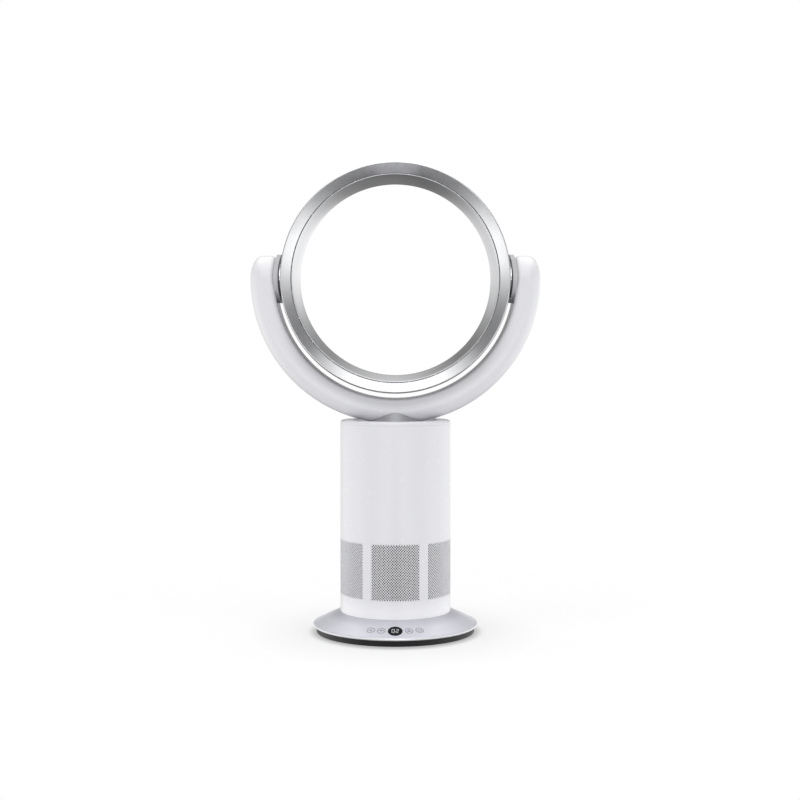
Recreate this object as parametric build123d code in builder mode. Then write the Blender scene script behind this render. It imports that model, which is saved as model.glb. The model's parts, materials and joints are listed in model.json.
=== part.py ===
"""Bladeless fan: an air ring that tilts in a crescent yoke, which swivels on a round column over a disc base.

The frame has +Z up and the front towards -Y. Its origin is on the floor, on the column's axis.
Air enters the column through six perforated panels, a mixed flow impeller drives it up the neck,
the hollow yoke leads it to both pivots, and it leaves the ring through an annular slot.
All sizes are in millimetres and all angles in degrees.
"""

import os
from math import acos, atan, cos, degrees, hypot, pi, radians, sin, sqrt, tan

from build123d import *

os.makedirs("parts", exist_ok=True)

# Fits
slip = 0.08  # radial clearance of a shaft in its bore
seat = 0.15  # clearance round a piece that drops into another
gap = 0.3  # clearance between a moving piece and a fixed one that it passes

# Base
base_radius = 131.6
cover_wall = 2.5
cover_bottom = 10.2
cover_top = 34.0
cover_chamfer = 1.8
cover_edge_round = 3.4
cover_crown = 0.9  # how far the sloping cover bulges over a straight cone
ledge_height = 30.0  # the column stands on this ledge
ledge_depth = 18.0
ledge_wall = 2.6
pan_bottom_inset = 14.0  # insets are measured inwards from the base's edge
pan_top_inset = 5.0
pan_wall = 2.4
pan_rim_height = 2.5
foot_radius = 9.0
foot_height = 3.2
foot_recess = 1.2
foot_chamfer = 0.6
foot_inset = 28.6
foot_count = 4
post_radius = 4.0
post_inset = 21.0
ballast_bore = 34.0
ballast_inset = 37.0
ballast_thickness = 8.0
screw_radius = 1.5
screw_head_radius = 2.9
screw_head_height = 1.4
screw_length = 12.0

# Display and touch keys, along the cover's front slope
panel_inset = 16.6
window_radius = 11.2
window_thickness = 2.0
key_angles = (-18.9, -10.6, 10.6, 18.9)
key_pad_radius = 3.7
key_pad_height = 1.4
board_depth = 9.5
board_thickness = 1.6
board_length = 88.0
board_width = 20.0
board_edge_inset = 11.7
board_post_radius = 2.2
board_post_offset = 28.5
module_size = 15.5

# Column
column_radius = 88.0
column_wall = 2.5
column_top = 339.0
intake_count = 6
intake_angle = 50.8
intake_bottom = 62.0
intake_top = 150.5
grille_thickness = 1.8
grille_flange = 2.5
grille_flange_wall = 1.2
grille_border = 4.0
grille_columns = 5
grille_rows = 7
grille_hole = 10.4  # across the corners of one diamond
cap_height = 6.0
cap_wall = 2.5
cap_edge_round = 4.5
cap_lip_height = 6.0
cap_lip_wall = 2.0
dish_depth = 5.5
dish_slope = 7.0
chassis_floor = 3.0
chassis_bore = 40.0
chassis_post_radius = 5.0
chassis_post_inset = 10.0
bulkhead_height = 158.0
bulkhead_thickness = 3.0
bulkhead_margin = 4.5  # round the blower housing
jack_height = 46.0
jack_radius = 5.6
jack_bezel_radius = 7.2
jack_bezel = 1.2
jack_length = 13.0
jack_bore = 2.8
jack_bore_depth = 10.0
jack_pin = 1.0

# Blower
housing_inset = 27.0  # from the column's outer face
housing_wall = 2.2
housing_top = 236.0
inlet_bottom = 106.0
inlet_round = 11.0
inlet_radius = 45.0
mixed_flow_top = 160.0
flow_bulge = 2.2  # how far the housing's cone bows inwards
flange_thickness = 2.5
flange_width = 12.0
top_flange_width = 5.0
isolator_thickness = 3.2
isolator_width = 6.0
hub_nose_radius = 15.0
hub_radius = 44.0
hub_bottom = 122.0
hub_hollow = 6.6
impeller_top = 158.0
impeller_wall = 2.2
blade_count = 9
blade_thickness = 1.6
blade_wrap = 56.0
blade_steps = 4
blade_gap = 0.8
shaft_radius = 4.0
shaft_bottom = 113.0
shaft_top = 207.0
nut_radius = 8.0
nut_height = 5.0
diffuser_bottom = 162.0
diffuser_top = 212.0
diffuser_wall = 2.2
vane_count = 11
vane_sweep = 24.0
vane_thickness = 1.6
vane_bottom = 170.0
vane_top = 206.0
motor_radius = 30.5
motor_wall = 2.2
motor_end_wall = 5.0
motor_height = 38.0
stator_yoke = 4.5
stator_bore = 17.5
pole_count = 6
pole_width = 7.0
coil_width = 2.4
coil_length = 5.5
winding_margin = 4.0
magnet_gap = 0.8
bearing_radius = 9.0
tail_height = 20.0
tail_radius = 14.0
duct_straight_bottom = 284.0
duct_top = 296.0
duct_bore = 35.0
seal_height = 3.0

# Neck and swivel drive
neck_bore = 28.5
neck_radius = 32.0
neck_bottom = 291.0
collar_radius = 44.0
collar_top_radius = 36.2
collar_top = 352.0
neck_flange = 3.0
bearing_wall = 2.8
bearing_flange = 2.0
bearing_flange_radius = 39.0
bearing_drop = 20.0
boss_wall = 3.5
washer_thickness = 0.8
gear_module = 1.25
gear_teeth = 64
pinion_teeth = 16
pressure_angle = 20.0
tooth_root = 1.25  # depth of a tooth below the pitch circle, in modules
backlash = 0.25
gear_height = 7.0
gear_gap = 1.0
sector_teeth = 21
gear_rim = 4.0
pinion_shaft_radius = 2.4
stepper_radius = 14.0
stepper_height = 19.0
stepper_offset = 8.0
stepper_boss_radius = 4.5
stepper_boss = 1.5
shaft_socket = 8.0
bracket_thickness = 2.0
bracket_post_radius = 4.0
bracket_post_spread = 23.0
clip_thickness = 1.5
clip_width = 2.5
clip_groove = 1.0
clip_opening = 20.0

# Yoke
yoke_clearance = 7.4  # between the ring's outer skin and the yoke
yoke_thickness = 40.5
yoke_half_depth = 36.5
yoke_sink = 4.96  # how far the round yoke would reach below the neck's flat seat
yoke_crown = 20.5  # radial height of the section's rounded outer half
yoke_corner_radial = 7.0
yoke_corner_depth = 6.0
yoke_wall = 2.6
yoke_screw_depth = 22.0  # depths are measured outwards from the yoke's inner face
yoke_screw_angles = (20.0, 48.0, 132.0, 160.0)
yoke_screw_seat = 4.0
yoke_boss_radius = 4.4
neck_screw_across = 34.5
neck_screw_back = 8.5

# Pivots
drum_radius = 38.5
drum_bed = 1.2  # how far the drum reaches into the yoke's hollow side
drum_proud = 5.6  # how far it stands out of the yoke, towards the ring
hub_land_depth = 6.0
hub_tube_radius = 26.0
hub_nut_wall = 3.5
hub_nut_thickness = 3.5
journal_radius = 22.0
journal_bore = 19.6
journal_stub = 6.5  # length of the journal past its nut
journal_flange_radius = 28.5
journal_flange = 2.5
pad_radius = 29.0
pad_thickness = 6.4
friction_ring_thickness = 1.6

# Ring, as radii about its own axis and depths behind its middle plane
ring_radius = 180.0
ring_belly = 2.6  # how far the outer skin bulges between its two ends
ring_depth = 84.0
ring_wall = 2.4
rim_width = 1.5
rim_depth = 9.0
rim_solid = 8.0
tongue_length = 3.5
tongue_wall = 1.8
flare_depth = 20.0
slot_inset = 15.0  # insets are measured inwards from ring_radius
slot_gap = 1.0
nozzle_length = 11.0
throat_inset = 26.5
throat_wall = 2.2
throat_edge = 1.2
throat_front = 22.0
throat_bulge = 1.6
mouth_round = 9.0
mouth_collar = 6.0
rear_round_depth = 12.0
rear_round_width = 10.0
spacer_count = 24
spacer_width = 1.8
spacer_length = 8.6
spacer_root = 0.6

# Sizes that follow
pan_bottom_radius = base_radius - pan_bottom_inset
pan_top_radius = base_radius - pan_top_inset
foot_circle = base_radius - foot_inset
post_circle = base_radius - post_inset
ballast_radius = base_radius - ballast_inset
panel_circle = base_radius - panel_inset
board_edge_radius = base_radius - board_edge_inset
ledge_radius = column_radius - ledge_depth
chassis_post_circle = column_radius - chassis_post_inset
pan_floor = foot_height - foot_recess
pan_inside = pan_floor + pan_wall
pan_top = cover_bottom - seat / 2
column_inner = column_radius - column_wall
column_shell_top = column_top - cap_height - seat
lip_radius = column_inner - seat
half_opening = column_radius * sin(radians(intake_angle / 2))
intake_pitch = 360 / intake_count
dish_floor = column_top - dish_depth
neck_base = dish_floor + washer_thickness + 2 * slip
yoke_cut = neck_base + neck_flange
housing_radius = column_radius - housing_inset
bulkhead_bore = housing_radius + bulkhead_margin
housing_inner = housing_radius - housing_wall
throat_height = inlet_bottom + inlet_round
housing_flange = bulkhead_height + bulkhead_thickness + isolator_thickness
gear_radius = gear_module * gear_teeth / 2
pinion_radius = gear_module * pinion_teeth / 2
drive_distance = gear_radius + pinion_radius
bracket_reach = hypot(bracket_post_spread, drive_distance + stepper_offset)
dish_radius = bracket_reach - bracket_post_radius / 2
dish_rim_radius = dish_radius + dish_slope
bearing_outer = neck_radius + slip + bearing_wall
boss_bottom = dish_floor - cap_wall - bearing_drop
gear_top = boss_bottom - gear_gap
gear_bottom = gear_top - gear_height
clip_bottom = gear_bottom - slip - clip_thickness
bracket_top = gear_bottom - gear_gap
stepper_top = bracket_top - bracket_thickness
motor_bottom = diffuser_bottom + diffuser_wall
motor_top = motor_bottom + motor_height
stator_outer = motor_radius - motor_wall
core_bottom = motor_bottom + motor_end_wall + winding_margin
core_top = motor_top - motor_end_wall - winding_margin
yoke_inner_radius = ring_radius + ring_belly + yoke_clearance
yoke_outer_radius = yoke_inner_radius + yoke_thickness
yoke_screw_circle = yoke_inner_radius + yoke_screw_depth
ring_height = yoke_cut + yoke_outer_radius - yoke_sink  # centre of the ring, and height of its tilt axis
yoke_middle = yoke_outer_radius - yoke_crown
yoke_corner = yoke_inner_radius + yoke_corner_radial
yoke_flat = yoke_half_depth - yoke_corner_depth
drum_outer_reach = yoke_inner_radius + drum_bed
drum_inner_reach = yoke_inner_radius - drum_proud
hub_land = yoke_inner_radius + hub_land_depth
hub_face = yoke_inner_radius + slip - drum_proud
hub_end = hub_land + hub_nut_thickness
journal_end = hub_end + journal_stub
slot_radius = ring_radius - slot_inset
throat_radius = ring_radius - throat_inset
front = -ring_depth / 2
rear = ring_depth / 2
pad_face = hub_face - friction_ring_thickness - slip
pad_inner_face = pad_face - pad_thickness
ring_axis = Axis((0, 0, ring_height), (0, 1, 0))
tilt_axis = Axis((0, 0, ring_height), (1, 0, 0))
ring_plane = Plane.XY.offset(ring_height)
quarter_turn = 90
diagonal = cos(radians(quarter_turn / 2))


def keep(piece, name):
    """Names a finished piece and writes it."""
    piece.label = name
    export_step(piece, f"parts/{name}.step")


def annulus(radius, bore):
    """Draws a ring."""
    Circle(radius)
    Circle(bore, mode=Mode.SUBTRACT)


def tube(radius, bore, bottom, top):
    """Adds an upright tube to the part."""
    with BuildSketch(Plane.XY.offset(bottom)) as section:
        annulus(radius, bore)
    extrude(section.sketch, amount=top - bottom)


def drill(spots, radius, bottom, depth):
    """Cuts upright round holes into the part."""
    with BuildSketch(Plane.XY.offset(bottom)) as holes:
        with spots:
            Circle(radius)
    extrude(holes.sketch, amount=depth, mode=Mode.SUBTRACT)


def screw_group(bottom, spots):
    """Upright screws with their heads at the bottom."""
    with BuildPart() as screws:
        with BuildSketch(Plane.XY.offset(bottom)):
            with spots:
                Circle(screw_head_radius)
        extrude(amount=screw_head_height)
        with BuildSketch(Plane.XY.offset(bottom + screw_head_height)):
            with spots:
                Circle(screw_radius - slip)
        extrude(amount=screw_length - screw_head_height)
    return screws.part


def tilt_plane(across):
    """The plane square to the tilt axis, this far from the middle."""
    return Plane((across, 0, ring_height), x_dir=(0, 1, 0), z_dir=(1, 0, 0))


def depth_plane(depth):
    """The upright plane this far behind the ring's middle."""
    return Plane((0, depth, ring_height), x_dir=(1, 0, 0), z_dir=(0, -1, 0))


# ---------------------------------------------------------------- base
foot_spots = PolarLocations(foot_circle, foot_count, start_angle=180 / foot_count)
post_spots = PolarLocations(post_circle, intake_count)
chassis_spots = PolarLocations(chassis_post_circle, intake_count)

with BuildPart() as base_pan:
    with BuildSketch(Plane.XZ):
        Polygon(
            (0, pan_floor),
            (pan_bottom_radius, pan_floor),
            (pan_top_radius, pan_top),
            (pan_top_radius - pan_wall, pan_top),
            (pan_bottom_radius - pan_wall / 2, pan_inside),
            (0, pan_inside),
            align=None,
        )
    revolve(axis=Axis.Z)
    drill(foot_spots, foot_radius + seat, pan_floor, foot_recess)
    drill(post_spots, screw_head_radius + slip, pan_floor, screw_head_height)
    drill(post_spots, screw_radius + slip, pan_floor, pan_wall)
    tube(ballast_radius + seat + pan_wall, ballast_radius + seat, pan_inside, pan_inside + pan_rim_height)
keep(base_pan.part, "base_pan")

with BuildPart() as base_feet:
    with BuildSketch():
        with foot_spots:
            Circle(foot_radius)
    extrude(amount=foot_height)
    chamfer(base_feet.edges().group_by(Axis.Z)[0], foot_chamfer)
keep(base_feet.part, "base_feet")

with BuildPart() as ballast_plate:
    tube(ballast_radius, ballast_bore, pan_inside, pan_inside + ballast_thickness)
keep(ballast_plate.part, "ballast_plate")

cover_shoulder = base_radius - cover_edge_round
shoulder_height = cover_bottom + cover_chamfer + cover_edge_round
column_socket = column_radius + seat
slope = (cover_top - shoulder_height) / (cover_shoulder - column_socket)
slope_angle = degrees(atan(slope))


def cover_height(radius):
    """Height of the straight cone under the cover's crown, at a radius."""
    return shoulder_height + slope * (cover_shoulder - radius)


panel_plane = Plane(
    (0, -panel_circle, cover_height(panel_circle) + cover_crown),
    x_dir=(1, 0, 0),
    z_dir=(0, -sin(radians(slope_angle)), cos(radians(slope_angle))),
)
board_top = panel_plane.offset(board_thickness - board_depth)

with BuildPart() as base_cover:
    inner_edge = cover_shoulder - cover_wall
    inner_height = cover_height(inner_edge) - cover_wall / cos(radians(slope_angle))
    under_ledge = ledge_height - ledge_wall
    inner_top = inner_edge - (under_ledge - inner_height) / slope
    with BuildSketch(Plane.XZ):
        with BuildLine():
            Line((base_radius - cover_chamfer, cover_bottom), (base_radius, cover_bottom + cover_chamfer))
            CenterArc((cover_shoulder, cover_bottom + cover_chamfer), cover_edge_round, 0, 90)
            ThreePointArc(
                (cover_shoulder, shoulder_height),
                (
                    (cover_shoulder + column_socket) / 2,
                    (shoulder_height + cover_top) / 2 + cover_crown,
                ),
                (column_socket, cover_top),
            )
            Polyline(
                (column_socket, cover_top),
                (column_socket, ledge_height),
                (ledge_radius, ledge_height),
                (ledge_radius, under_ledge),
                (inner_top, under_ledge),
                (inner_edge, inner_height),
                (inner_edge, cover_bottom),
                (base_radius - cover_chamfer, cover_bottom),
            )
        make_face()
    revolve(axis=Axis.Z)
    with BuildSketch(Plane.XY.offset(pan_inside)):
        with post_spots:
            Circle(post_radius)
    extrude(amount=cover_height(post_circle + post_radius) - pan_inside)
    drill(post_spots, screw_radius, pan_inside, screw_length - pan_wall)
    drill(chassis_spots, screw_radius + slip, under_ledge, ledge_wall)
    with BuildSketch(board_top):
        with Locations((-board_post_offset, 0), (board_post_offset, 0)):
            Circle(board_post_radius)
    extrude(amount=board_depth - board_thickness - cover_wall)
    with BuildSketch(panel_plane.offset(-2 * cover_wall)):
        Circle(window_radius + seat)
    extrude(amount=3 * cover_wall, mode=Mode.SUBTRACT)
keep(base_cover.part, "base_cover")

keep(screw_group(pan_floor, post_spots), "base_screws")

with BuildPart() as display_window:
    with BuildSketch(panel_plane.offset(-window_thickness)):
        Circle(window_radius)
    extrude(amount=window_thickness)
    chamfer(display_window.faces().sort_by(Axis.Z)[-1].edges(), seat)
keep(display_window.part, "display_window")

with BuildPart() as display_module:
    with BuildSketch(board_top):
        Rectangle(module_size, module_size)
    extrude(amount=board_depth - board_thickness - window_thickness - seat)
keep(display_module.part, "display_module")

with BuildPart() as control_board:
    with BuildSketch(panel_plane.offset(-board_depth)):
        Rectangle(board_length, board_width)
    extrude(amount=board_thickness)
    with BuildSketch():
        Circle(board_edge_radius)
    extrude(amount=cover_top, mode=Mode.INTERSECT)
keep(control_board.part, "control_board")

key_spots = [
    (panel_circle * sin(radians(angle)), panel_circle * (1 - cos(radians(angle))) * cos(radians(slope_angle)))
    for angle in key_angles
]
with BuildPart() as touch_pads:
    with BuildSketch(board_top):
        with Locations(*key_spots):
            Circle(key_pad_radius)
    extrude(amount=key_pad_height)
keep(touch_pads.part, "touch_pads")

# ---------------------------------------------------------------- column
with BuildPart() as column_shell:
    tube(column_radius, column_inner, ledge_height, column_shell_top)
    for index in range(intake_count):
        with BuildSketch(Plane.XZ.rotated((0, 0, index * intake_pitch))):
            with Locations((0, (intake_bottom + intake_top) / 2)):
                Rectangle(2 * half_opening, intake_top - intake_bottom)
        extrude(amount=column_radius + column_wall, mode=Mode.SUBTRACT)
    with BuildSketch(Plane.XZ.offset(-column_radius - column_wall)):
        with Locations((0, jack_height)):
            Circle(jack_radius + seat)
    extrude(amount=3 * column_wall, mode=Mode.SUBTRACT)
keep(column_shell.part, "column_shell")


def panel_sector(radius, bore, margin):
    """Draws an arc of sheet in the front opening, wider than it by a margin on each side."""
    annulus(radius, bore)
    with Locations((0, -column_radius)):
        Rectangle(2 * (half_opening + margin), column_radius, mode=Mode.INTERSECT)


grille_outer = column_radius - seat
flange_outer = column_inner - slip
grille_inner = flange_outer - grille_flange_wall
intake_height = intake_top - intake_bottom
column_pitch = 2 * (half_opening - grille_border) / grille_columns
row_pitch = (intake_height - 2 * grille_border) / grille_rows
with BuildPart() as intake_grille:
    with BuildSketch(Plane.XY.offset(intake_bottom + seat)):
        panel_sector(grille_outer, grille_inner, -seat)
    extrude(amount=intake_height - 2 * seat)
    with BuildSketch(Plane.XY.offset(intake_bottom - grille_flange)):
        panel_sector(flange_outer, grille_inner, grille_flange)
    extrude(amount=intake_height + 2 * grille_flange)
    with BuildSketch(Plane.XY.offset(intake_bottom + grille_border)):
        panel_sector(grille_outer - grille_thickness, grille_inner - seat, -grille_border)
    extrude(amount=intake_height - 2 * grille_border, mode=Mode.SUBTRACT)
    with BuildSketch(Plane.XZ):
        with Locations((0, (intake_bottom + intake_top) / 2)):
            with GridLocations(column_pitch, 2 * row_pitch, grille_columns, (grille_rows + 1) // 2):
                Rectangle(grille_hole * diagonal, grille_hole * diagonal, rotation=45)
            with GridLocations(column_pitch, 2 * row_pitch, grille_columns - 1, grille_rows // 2):
                Rectangle(grille_hole * diagonal, grille_hole * diagonal, rotation=45)
    extrude(amount=column_radius + column_wall, mode=Mode.SUBTRACT)
for index in range(intake_count):
    keep(Rot(0, 0, index * intake_pitch) * intake_grille.part, f"intake_grille_{index + 1}")

bracket_spots = Locations(
    (-bracket_post_spread, drive_distance + stepper_offset),
    (bracket_post_spread, drive_distance + stepper_offset),
)
with BuildPart() as column_cap:
    skirt_bottom = column_top - cap_height
    cap_ceiling = column_top - cap_wall
    dish_ceiling = dish_floor - cap_wall
    boss_radius = bearing_outer + boss_wall
    with BuildSketch(Plane.XZ):
        with BuildLine():
            Polyline(
                (bearing_flange_radius + seat, dish_floor),
                (bearing_flange_radius + seat, dish_floor - bearing_flange),
                (bearing_outer, dish_floor - bearing_flange),
                (bearing_outer, boss_bottom),
                (boss_radius, boss_bottom),
                (boss_radius, dish_ceiling),
                (dish_radius, dish_ceiling),
                (dish_rim_radius, cap_ceiling),
                (lip_radius - cap_lip_wall, cap_ceiling),
                (lip_radius - cap_lip_wall, skirt_bottom - cap_lip_height),
                (lip_radius, skirt_bottom - cap_lip_height),
                (lip_radius, skirt_bottom),
                (column_radius, skirt_bottom),
                (column_radius, column_top - cap_edge_round),
            )
            CenterArc(
                (column_radius - cap_edge_round, column_top - cap_edge_round),
                cap_edge_round,
                0,
                90,
            )
            Polyline(
                (column_radius - cap_edge_round, column_top),
                (dish_rim_radius, column_top),
                (dish_radius, dish_floor),
                (bearing_flange_radius + seat, dish_floor),
            )
        make_face()
    revolve(axis=Axis.Z)
    with BuildSketch(Plane.XY.offset(bracket_top)):
        with bracket_spots:
            Circle(bracket_post_radius)
    extrude(amount=dish_ceiling - bracket_top + cap_wall / 2)
    drill(bracket_spots, screw_radius, bracket_top, screw_length)
keep(column_cap.part, "column_cap")

with BuildPart() as column_chassis:
    tube(lip_radius, chassis_bore, ledge_height, ledge_height + chassis_floor)
    with BuildSketch(Plane.XY.offset(ledge_height)):
        with chassis_spots:
            Circle(chassis_post_radius)
    extrude(amount=bulkhead_height - ledge_height)
    drill(chassis_spots, screw_radius, ledge_height, screw_length)
    drill(chassis_spots, screw_radius, bulkhead_height, -screw_length)
keep(column_chassis.part, "column_chassis")

bulkhead_top = bulkhead_height + bulkhead_thickness
with BuildPart() as chassis_screws:
    add(screw_group(under_ledge - screw_head_height, chassis_spots))
    mirror(screw_group(-bulkhead_top - screw_head_height, chassis_spots), about=Plane.XY)
keep(chassis_screws.part, "chassis_screws")

with BuildPart() as bulkhead:
    tube(lip_radius, bulkhead_bore, bulkhead_height, bulkhead_top)
    drill(chassis_spots, screw_radius + slip, bulkhead_height, bulkhead_thickness)
keep(bulkhead.part, "bulkhead")

with BuildPart() as dc_jack:
    with BuildSketch(Plane.XZ.offset(-column_radius - jack_bezel)):
        with Locations((0, jack_height)):
            Circle(jack_bezel_radius)
    extrude(amount=jack_bezel)
    with BuildSketch(Plane.XZ.offset(-column_radius)):
        with Locations((0, jack_height)):
            Circle(jack_radius)
    extrude(amount=jack_length)
    with BuildSketch(Plane.XZ.offset(-column_radius - jack_bezel)):
        with Locations((0, jack_height)):
            annulus(jack_bore, jack_pin)
    extrude(amount=jack_bore_depth, mode=Mode.SUBTRACT)
keep(dc_jack.part, "dc_jack")

# ---------------------------------------------------------------- blower
bell_radius = inlet_radius + inlet_round
flow_middle = ((inlet_radius + housing_inner) / 2, (throat_height + mixed_flow_top) / 2)
with BuildPart() as blower_housing:
    with BuildSketch(Plane.XZ):
        with BuildLine():
            CenterArc((bell_radius, throat_height), inlet_round, 180, 90)
            ThreePointArc(
                (inlet_radius, throat_height),
                (flow_middle[0] - flow_bulge, flow_middle[1] + flow_bulge),
                (housing_inner, mixed_flow_top),
            )
            Polyline(
                (housing_inner, mixed_flow_top),
                (housing_inner, housing_top),
                (housing_radius + top_flange_width, housing_top),
                (housing_radius + top_flange_width, housing_top - flange_thickness),
                (housing_radius, housing_top - flange_thickness),
                (housing_radius, housing_flange + flange_thickness),
                (housing_radius + flange_width, housing_flange + flange_thickness),
                (housing_radius + flange_width, housing_flange),
                (housing_radius, housing_flange),
                (housing_radius, mixed_flow_top),
            )
            ThreePointArc(
                (housing_radius, mixed_flow_top),
                flow_middle,
                (inlet_radius + housing_wall, throat_height),
            )
            CenterArc((bell_radius, throat_height), inlet_round - housing_wall, 180, 90)
            Line((bell_radius, inlet_bottom + housing_wall), (bell_radius, inlet_bottom))
        make_face()
    revolve(axis=Axis.Z)
keep(blower_housing.part, "blower_housing")

with BuildPart() as isolator_ring:
    tube(
        bulkhead_bore + isolator_width,
        bulkhead_bore,
        bulkhead_top,
        housing_flange,
    )
keep(isolator_ring.part, "isolator_ring")

hub_middle = ((hub_nose_radius + hub_radius) / 2 - 2, (hub_bottom + impeller_top) / 2 + 2)
blade_root = impeller_wall / 2
with BuildSketch(Plane.XZ) as flow_section:
    with BuildLine():
        ThreePointArc(
            (hub_nose_radius - blade_root, hub_bottom),
            (hub_middle[0] - blade_root, hub_middle[1] + blade_root),
            (hub_radius - blade_root, impeller_top),
        )
        Polyline(
            (hub_radius - blade_root, impeller_top),
            (hub_radius - blade_root, mixed_flow_top),
            (housing_inner - blade_gap, mixed_flow_top),
        )
        ThreePointArc(
            (housing_inner - blade_gap, mixed_flow_top),
            (flow_middle[0] - flow_bulge - blade_gap, flow_middle[1] + flow_bulge),
            (inlet_radius - blade_gap, throat_height),
        )
        Polyline(
            (inlet_radius - blade_gap, throat_height),
            (hub_nose_radius - blade_root, throat_height),
            (hub_nose_radius - blade_root, hub_bottom),
        )
    make_face()


def swept_sheet(thickness, levels):
    """A twisted radial sheet through (height, angle) pairs."""
    with BuildPart() as sheet:
        for height, lead in levels:
            with BuildSketch(Plane.XY.offset(height).rotated((0, 0, lead))):
                with Locations((housing_radius / 2, 0)):
                    Rectangle(housing_radius, thickness)
        loft(ruled=True)
    return sheet.part


blade_levels = [
    (hub_bottom + step / blade_steps * (impeller_top - hub_bottom), blade_wrap * (step / blade_steps) ** 1.4)
    for step in range(blade_steps + 1)
]
with BuildPart() as blade:
    add(swept_sheet(blade_thickness, blade_levels))
    revolve(flow_section.sketch, axis=Axis.Z, mode=Mode.INTERSECT)

with BuildPart() as impeller:
    with BuildSketch(Plane.XZ):
        with BuildLine():
            ThreePointArc((hub_nose_radius, hub_bottom), hub_middle, (hub_radius, impeller_top))
            Polyline(
                (hub_radius, impeller_top),
                (hub_radius - impeller_wall, impeller_top),
                (hub_radius - impeller_wall, impeller_top - impeller_wall),
                (nut_radius, impeller_top - hub_hollow),
                (nut_radius, impeller_top),
                (shaft_radius, impeller_top),
                (shaft_radius, hub_bottom),
                (hub_nose_radius, hub_bottom),
            )
        make_face()
    revolve(axis=Axis.Z)
    with PolarLocations(0, blade_count):
        add(blade.part)
keep(impeller.part, "impeller")

with BuildPart() as impeller_shaft:
    with BuildSketch(Plane.XY.offset(shaft_bottom)):
        Circle(shaft_radius)
    extrude(amount=shaft_top - shaft_bottom)
keep(impeller_shaft.part, "impeller_shaft")

with BuildPart() as impeller_nut:
    with BuildSketch(Plane.XY.offset(hub_bottom - nut_height)):
        RegularPolygon(nut_radius, 6)
        Circle(shaft_radius, mode=Mode.SUBTRACT)
    extrude(amount=nut_height)
keep(impeller_nut.part, "impeller_nut")

vane_levels = [
    (vane_bottom, -vane_sweep),
    ((vane_bottom + vane_top) / 2, -vane_sweep / 4),
    (vane_top, 0),
]
with BuildPart() as vane:
    add(swept_sheet(vane_thickness, vane_levels))
    with BuildSketch(Plane.XY.offset(vane_bottom)):
        annulus(housing_inner - seat, hub_radius - diffuser_wall / 2)
    extrude(amount=vane_top - vane_bottom, mode=Mode.INTERSECT)

with BuildPart() as diffuser:
    tube(hub_radius, hub_radius - diffuser_wall, diffuser_bottom, diffuser_top)
    tube(hub_radius - diffuser_wall / 2, bearing_radius, diffuser_bottom, motor_bottom)
    tube(motor_radius + seat + diffuser_wall, motor_radius + seat, motor_bottom, motor_top)
    with PolarLocations(0, vane_count):
        add(vane.part)
keep(diffuser.part, "diffuser")

with BuildPart() as motor_can:
    tube(motor_radius, bearing_radius, motor_bottom, motor_bottom + motor_end_wall)
    tube(motor_radius, stator_outer, motor_bottom, motor_top - motor_end_wall)
keep(motor_can.part, "motor_can")

with BuildPart() as motor_end_cap:
    tube(motor_radius, bearing_radius, motor_top - motor_end_wall, motor_top)
keep(motor_end_cap.part, "motor_end_cap")

with BuildPart() as motor_bearings:
    tube(bearing_radius, shaft_radius + slip / 2, motor_bottom, motor_bottom + motor_end_wall)
    tube(bearing_radius, shaft_radius + slip / 2, motor_top - motor_end_wall, motor_top)
keep(motor_bearings.part, "motor_bearings")

with BuildPart() as motor_stator:
    with BuildSketch(Plane.XY.offset(core_bottom)):
        annulus(stator_outer, stator_outer - stator_yoke)
        with PolarLocations((stator_outer + stator_bore) / 2, pole_count):
            Rectangle(stator_outer - stator_bore, pole_width)
        Circle(stator_outer, mode=Mode.INTERSECT)
        Circle(stator_bore, mode=Mode.SUBTRACT)
    extrude(amount=core_top - core_bottom)
keep(motor_stator.part, "motor_stator")

with BuildPart() as motor_coils:
    coil_middle = stator_bore + coil_length / 2
    core_height = core_top - core_bottom
    with BuildSketch(Plane.XY.offset(core_bottom - coil_width)):
        with PolarLocations(coil_middle, pole_count):
            Rectangle(coil_length, pole_width + 2 * coil_width)
    extrude(amount=core_height + 2 * coil_width)
    with BuildSketch(Plane.XY.offset(core_bottom)):
        with PolarLocations(coil_middle, pole_count):
            Rectangle(coil_length + coil_width, pole_width)
    extrude(amount=core_height, mode=Mode.SUBTRACT)
keep(motor_coils.part, "motor_coils")

with BuildPart() as rotor_magnet:
    tube(stator_bore - magnet_gap, shaft_radius, core_bottom, core_top)
keep(rotor_magnet.part, "rotor_magnet")

with BuildPart() as diffuser_tail:
    tail_top = diffuser_top + tail_height
    with BuildSketch(Plane.XZ):
        with BuildLine():
            Line((0, tail_top), (tail_radius, tail_top))
            ThreePointArc(
                (tail_radius, tail_top),
                (
                    (tail_radius + hub_radius) / 2 + diffuser_wall,
                    diffuser_top + tail_height / 2 + diffuser_wall,
                ),
                (hub_radius, diffuser_top),
            )
            Polyline(
                (hub_radius, diffuser_top),
                (hub_radius - 2 * diffuser_wall, diffuser_top),
                (tail_radius, tail_top - diffuser_wall),
                (0, tail_top - diffuser_wall),
                (0, tail_top),
            )
        make_face()
    revolve(axis=Axis.Z)
keep(diffuser_tail.part, "diffuser_tail")

with BuildPart() as outlet_duct:
    with BuildSketch(Plane.XZ):
        Polygon(
            (housing_inner, housing_top),
            (duct_bore, duct_straight_bottom),
            (duct_bore, duct_top),
            (duct_bore + housing_wall, duct_top),
            (duct_bore + housing_wall, duct_straight_bottom),
            (housing_radius, housing_top + flange_thickness),
            (housing_radius + top_flange_width, housing_top + flange_thickness),
            (housing_radius + top_flange_width, housing_top),
            align=None,
        )
    revolve(axis=Axis.Z)
keep(outlet_duct.part, "outlet_duct")

with BuildPart() as duct_seal:
    tube(duct_bore, neck_radius + gap, duct_top - seal_height, duct_top)
keep(duct_seal.part, "duct_seal")

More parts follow.
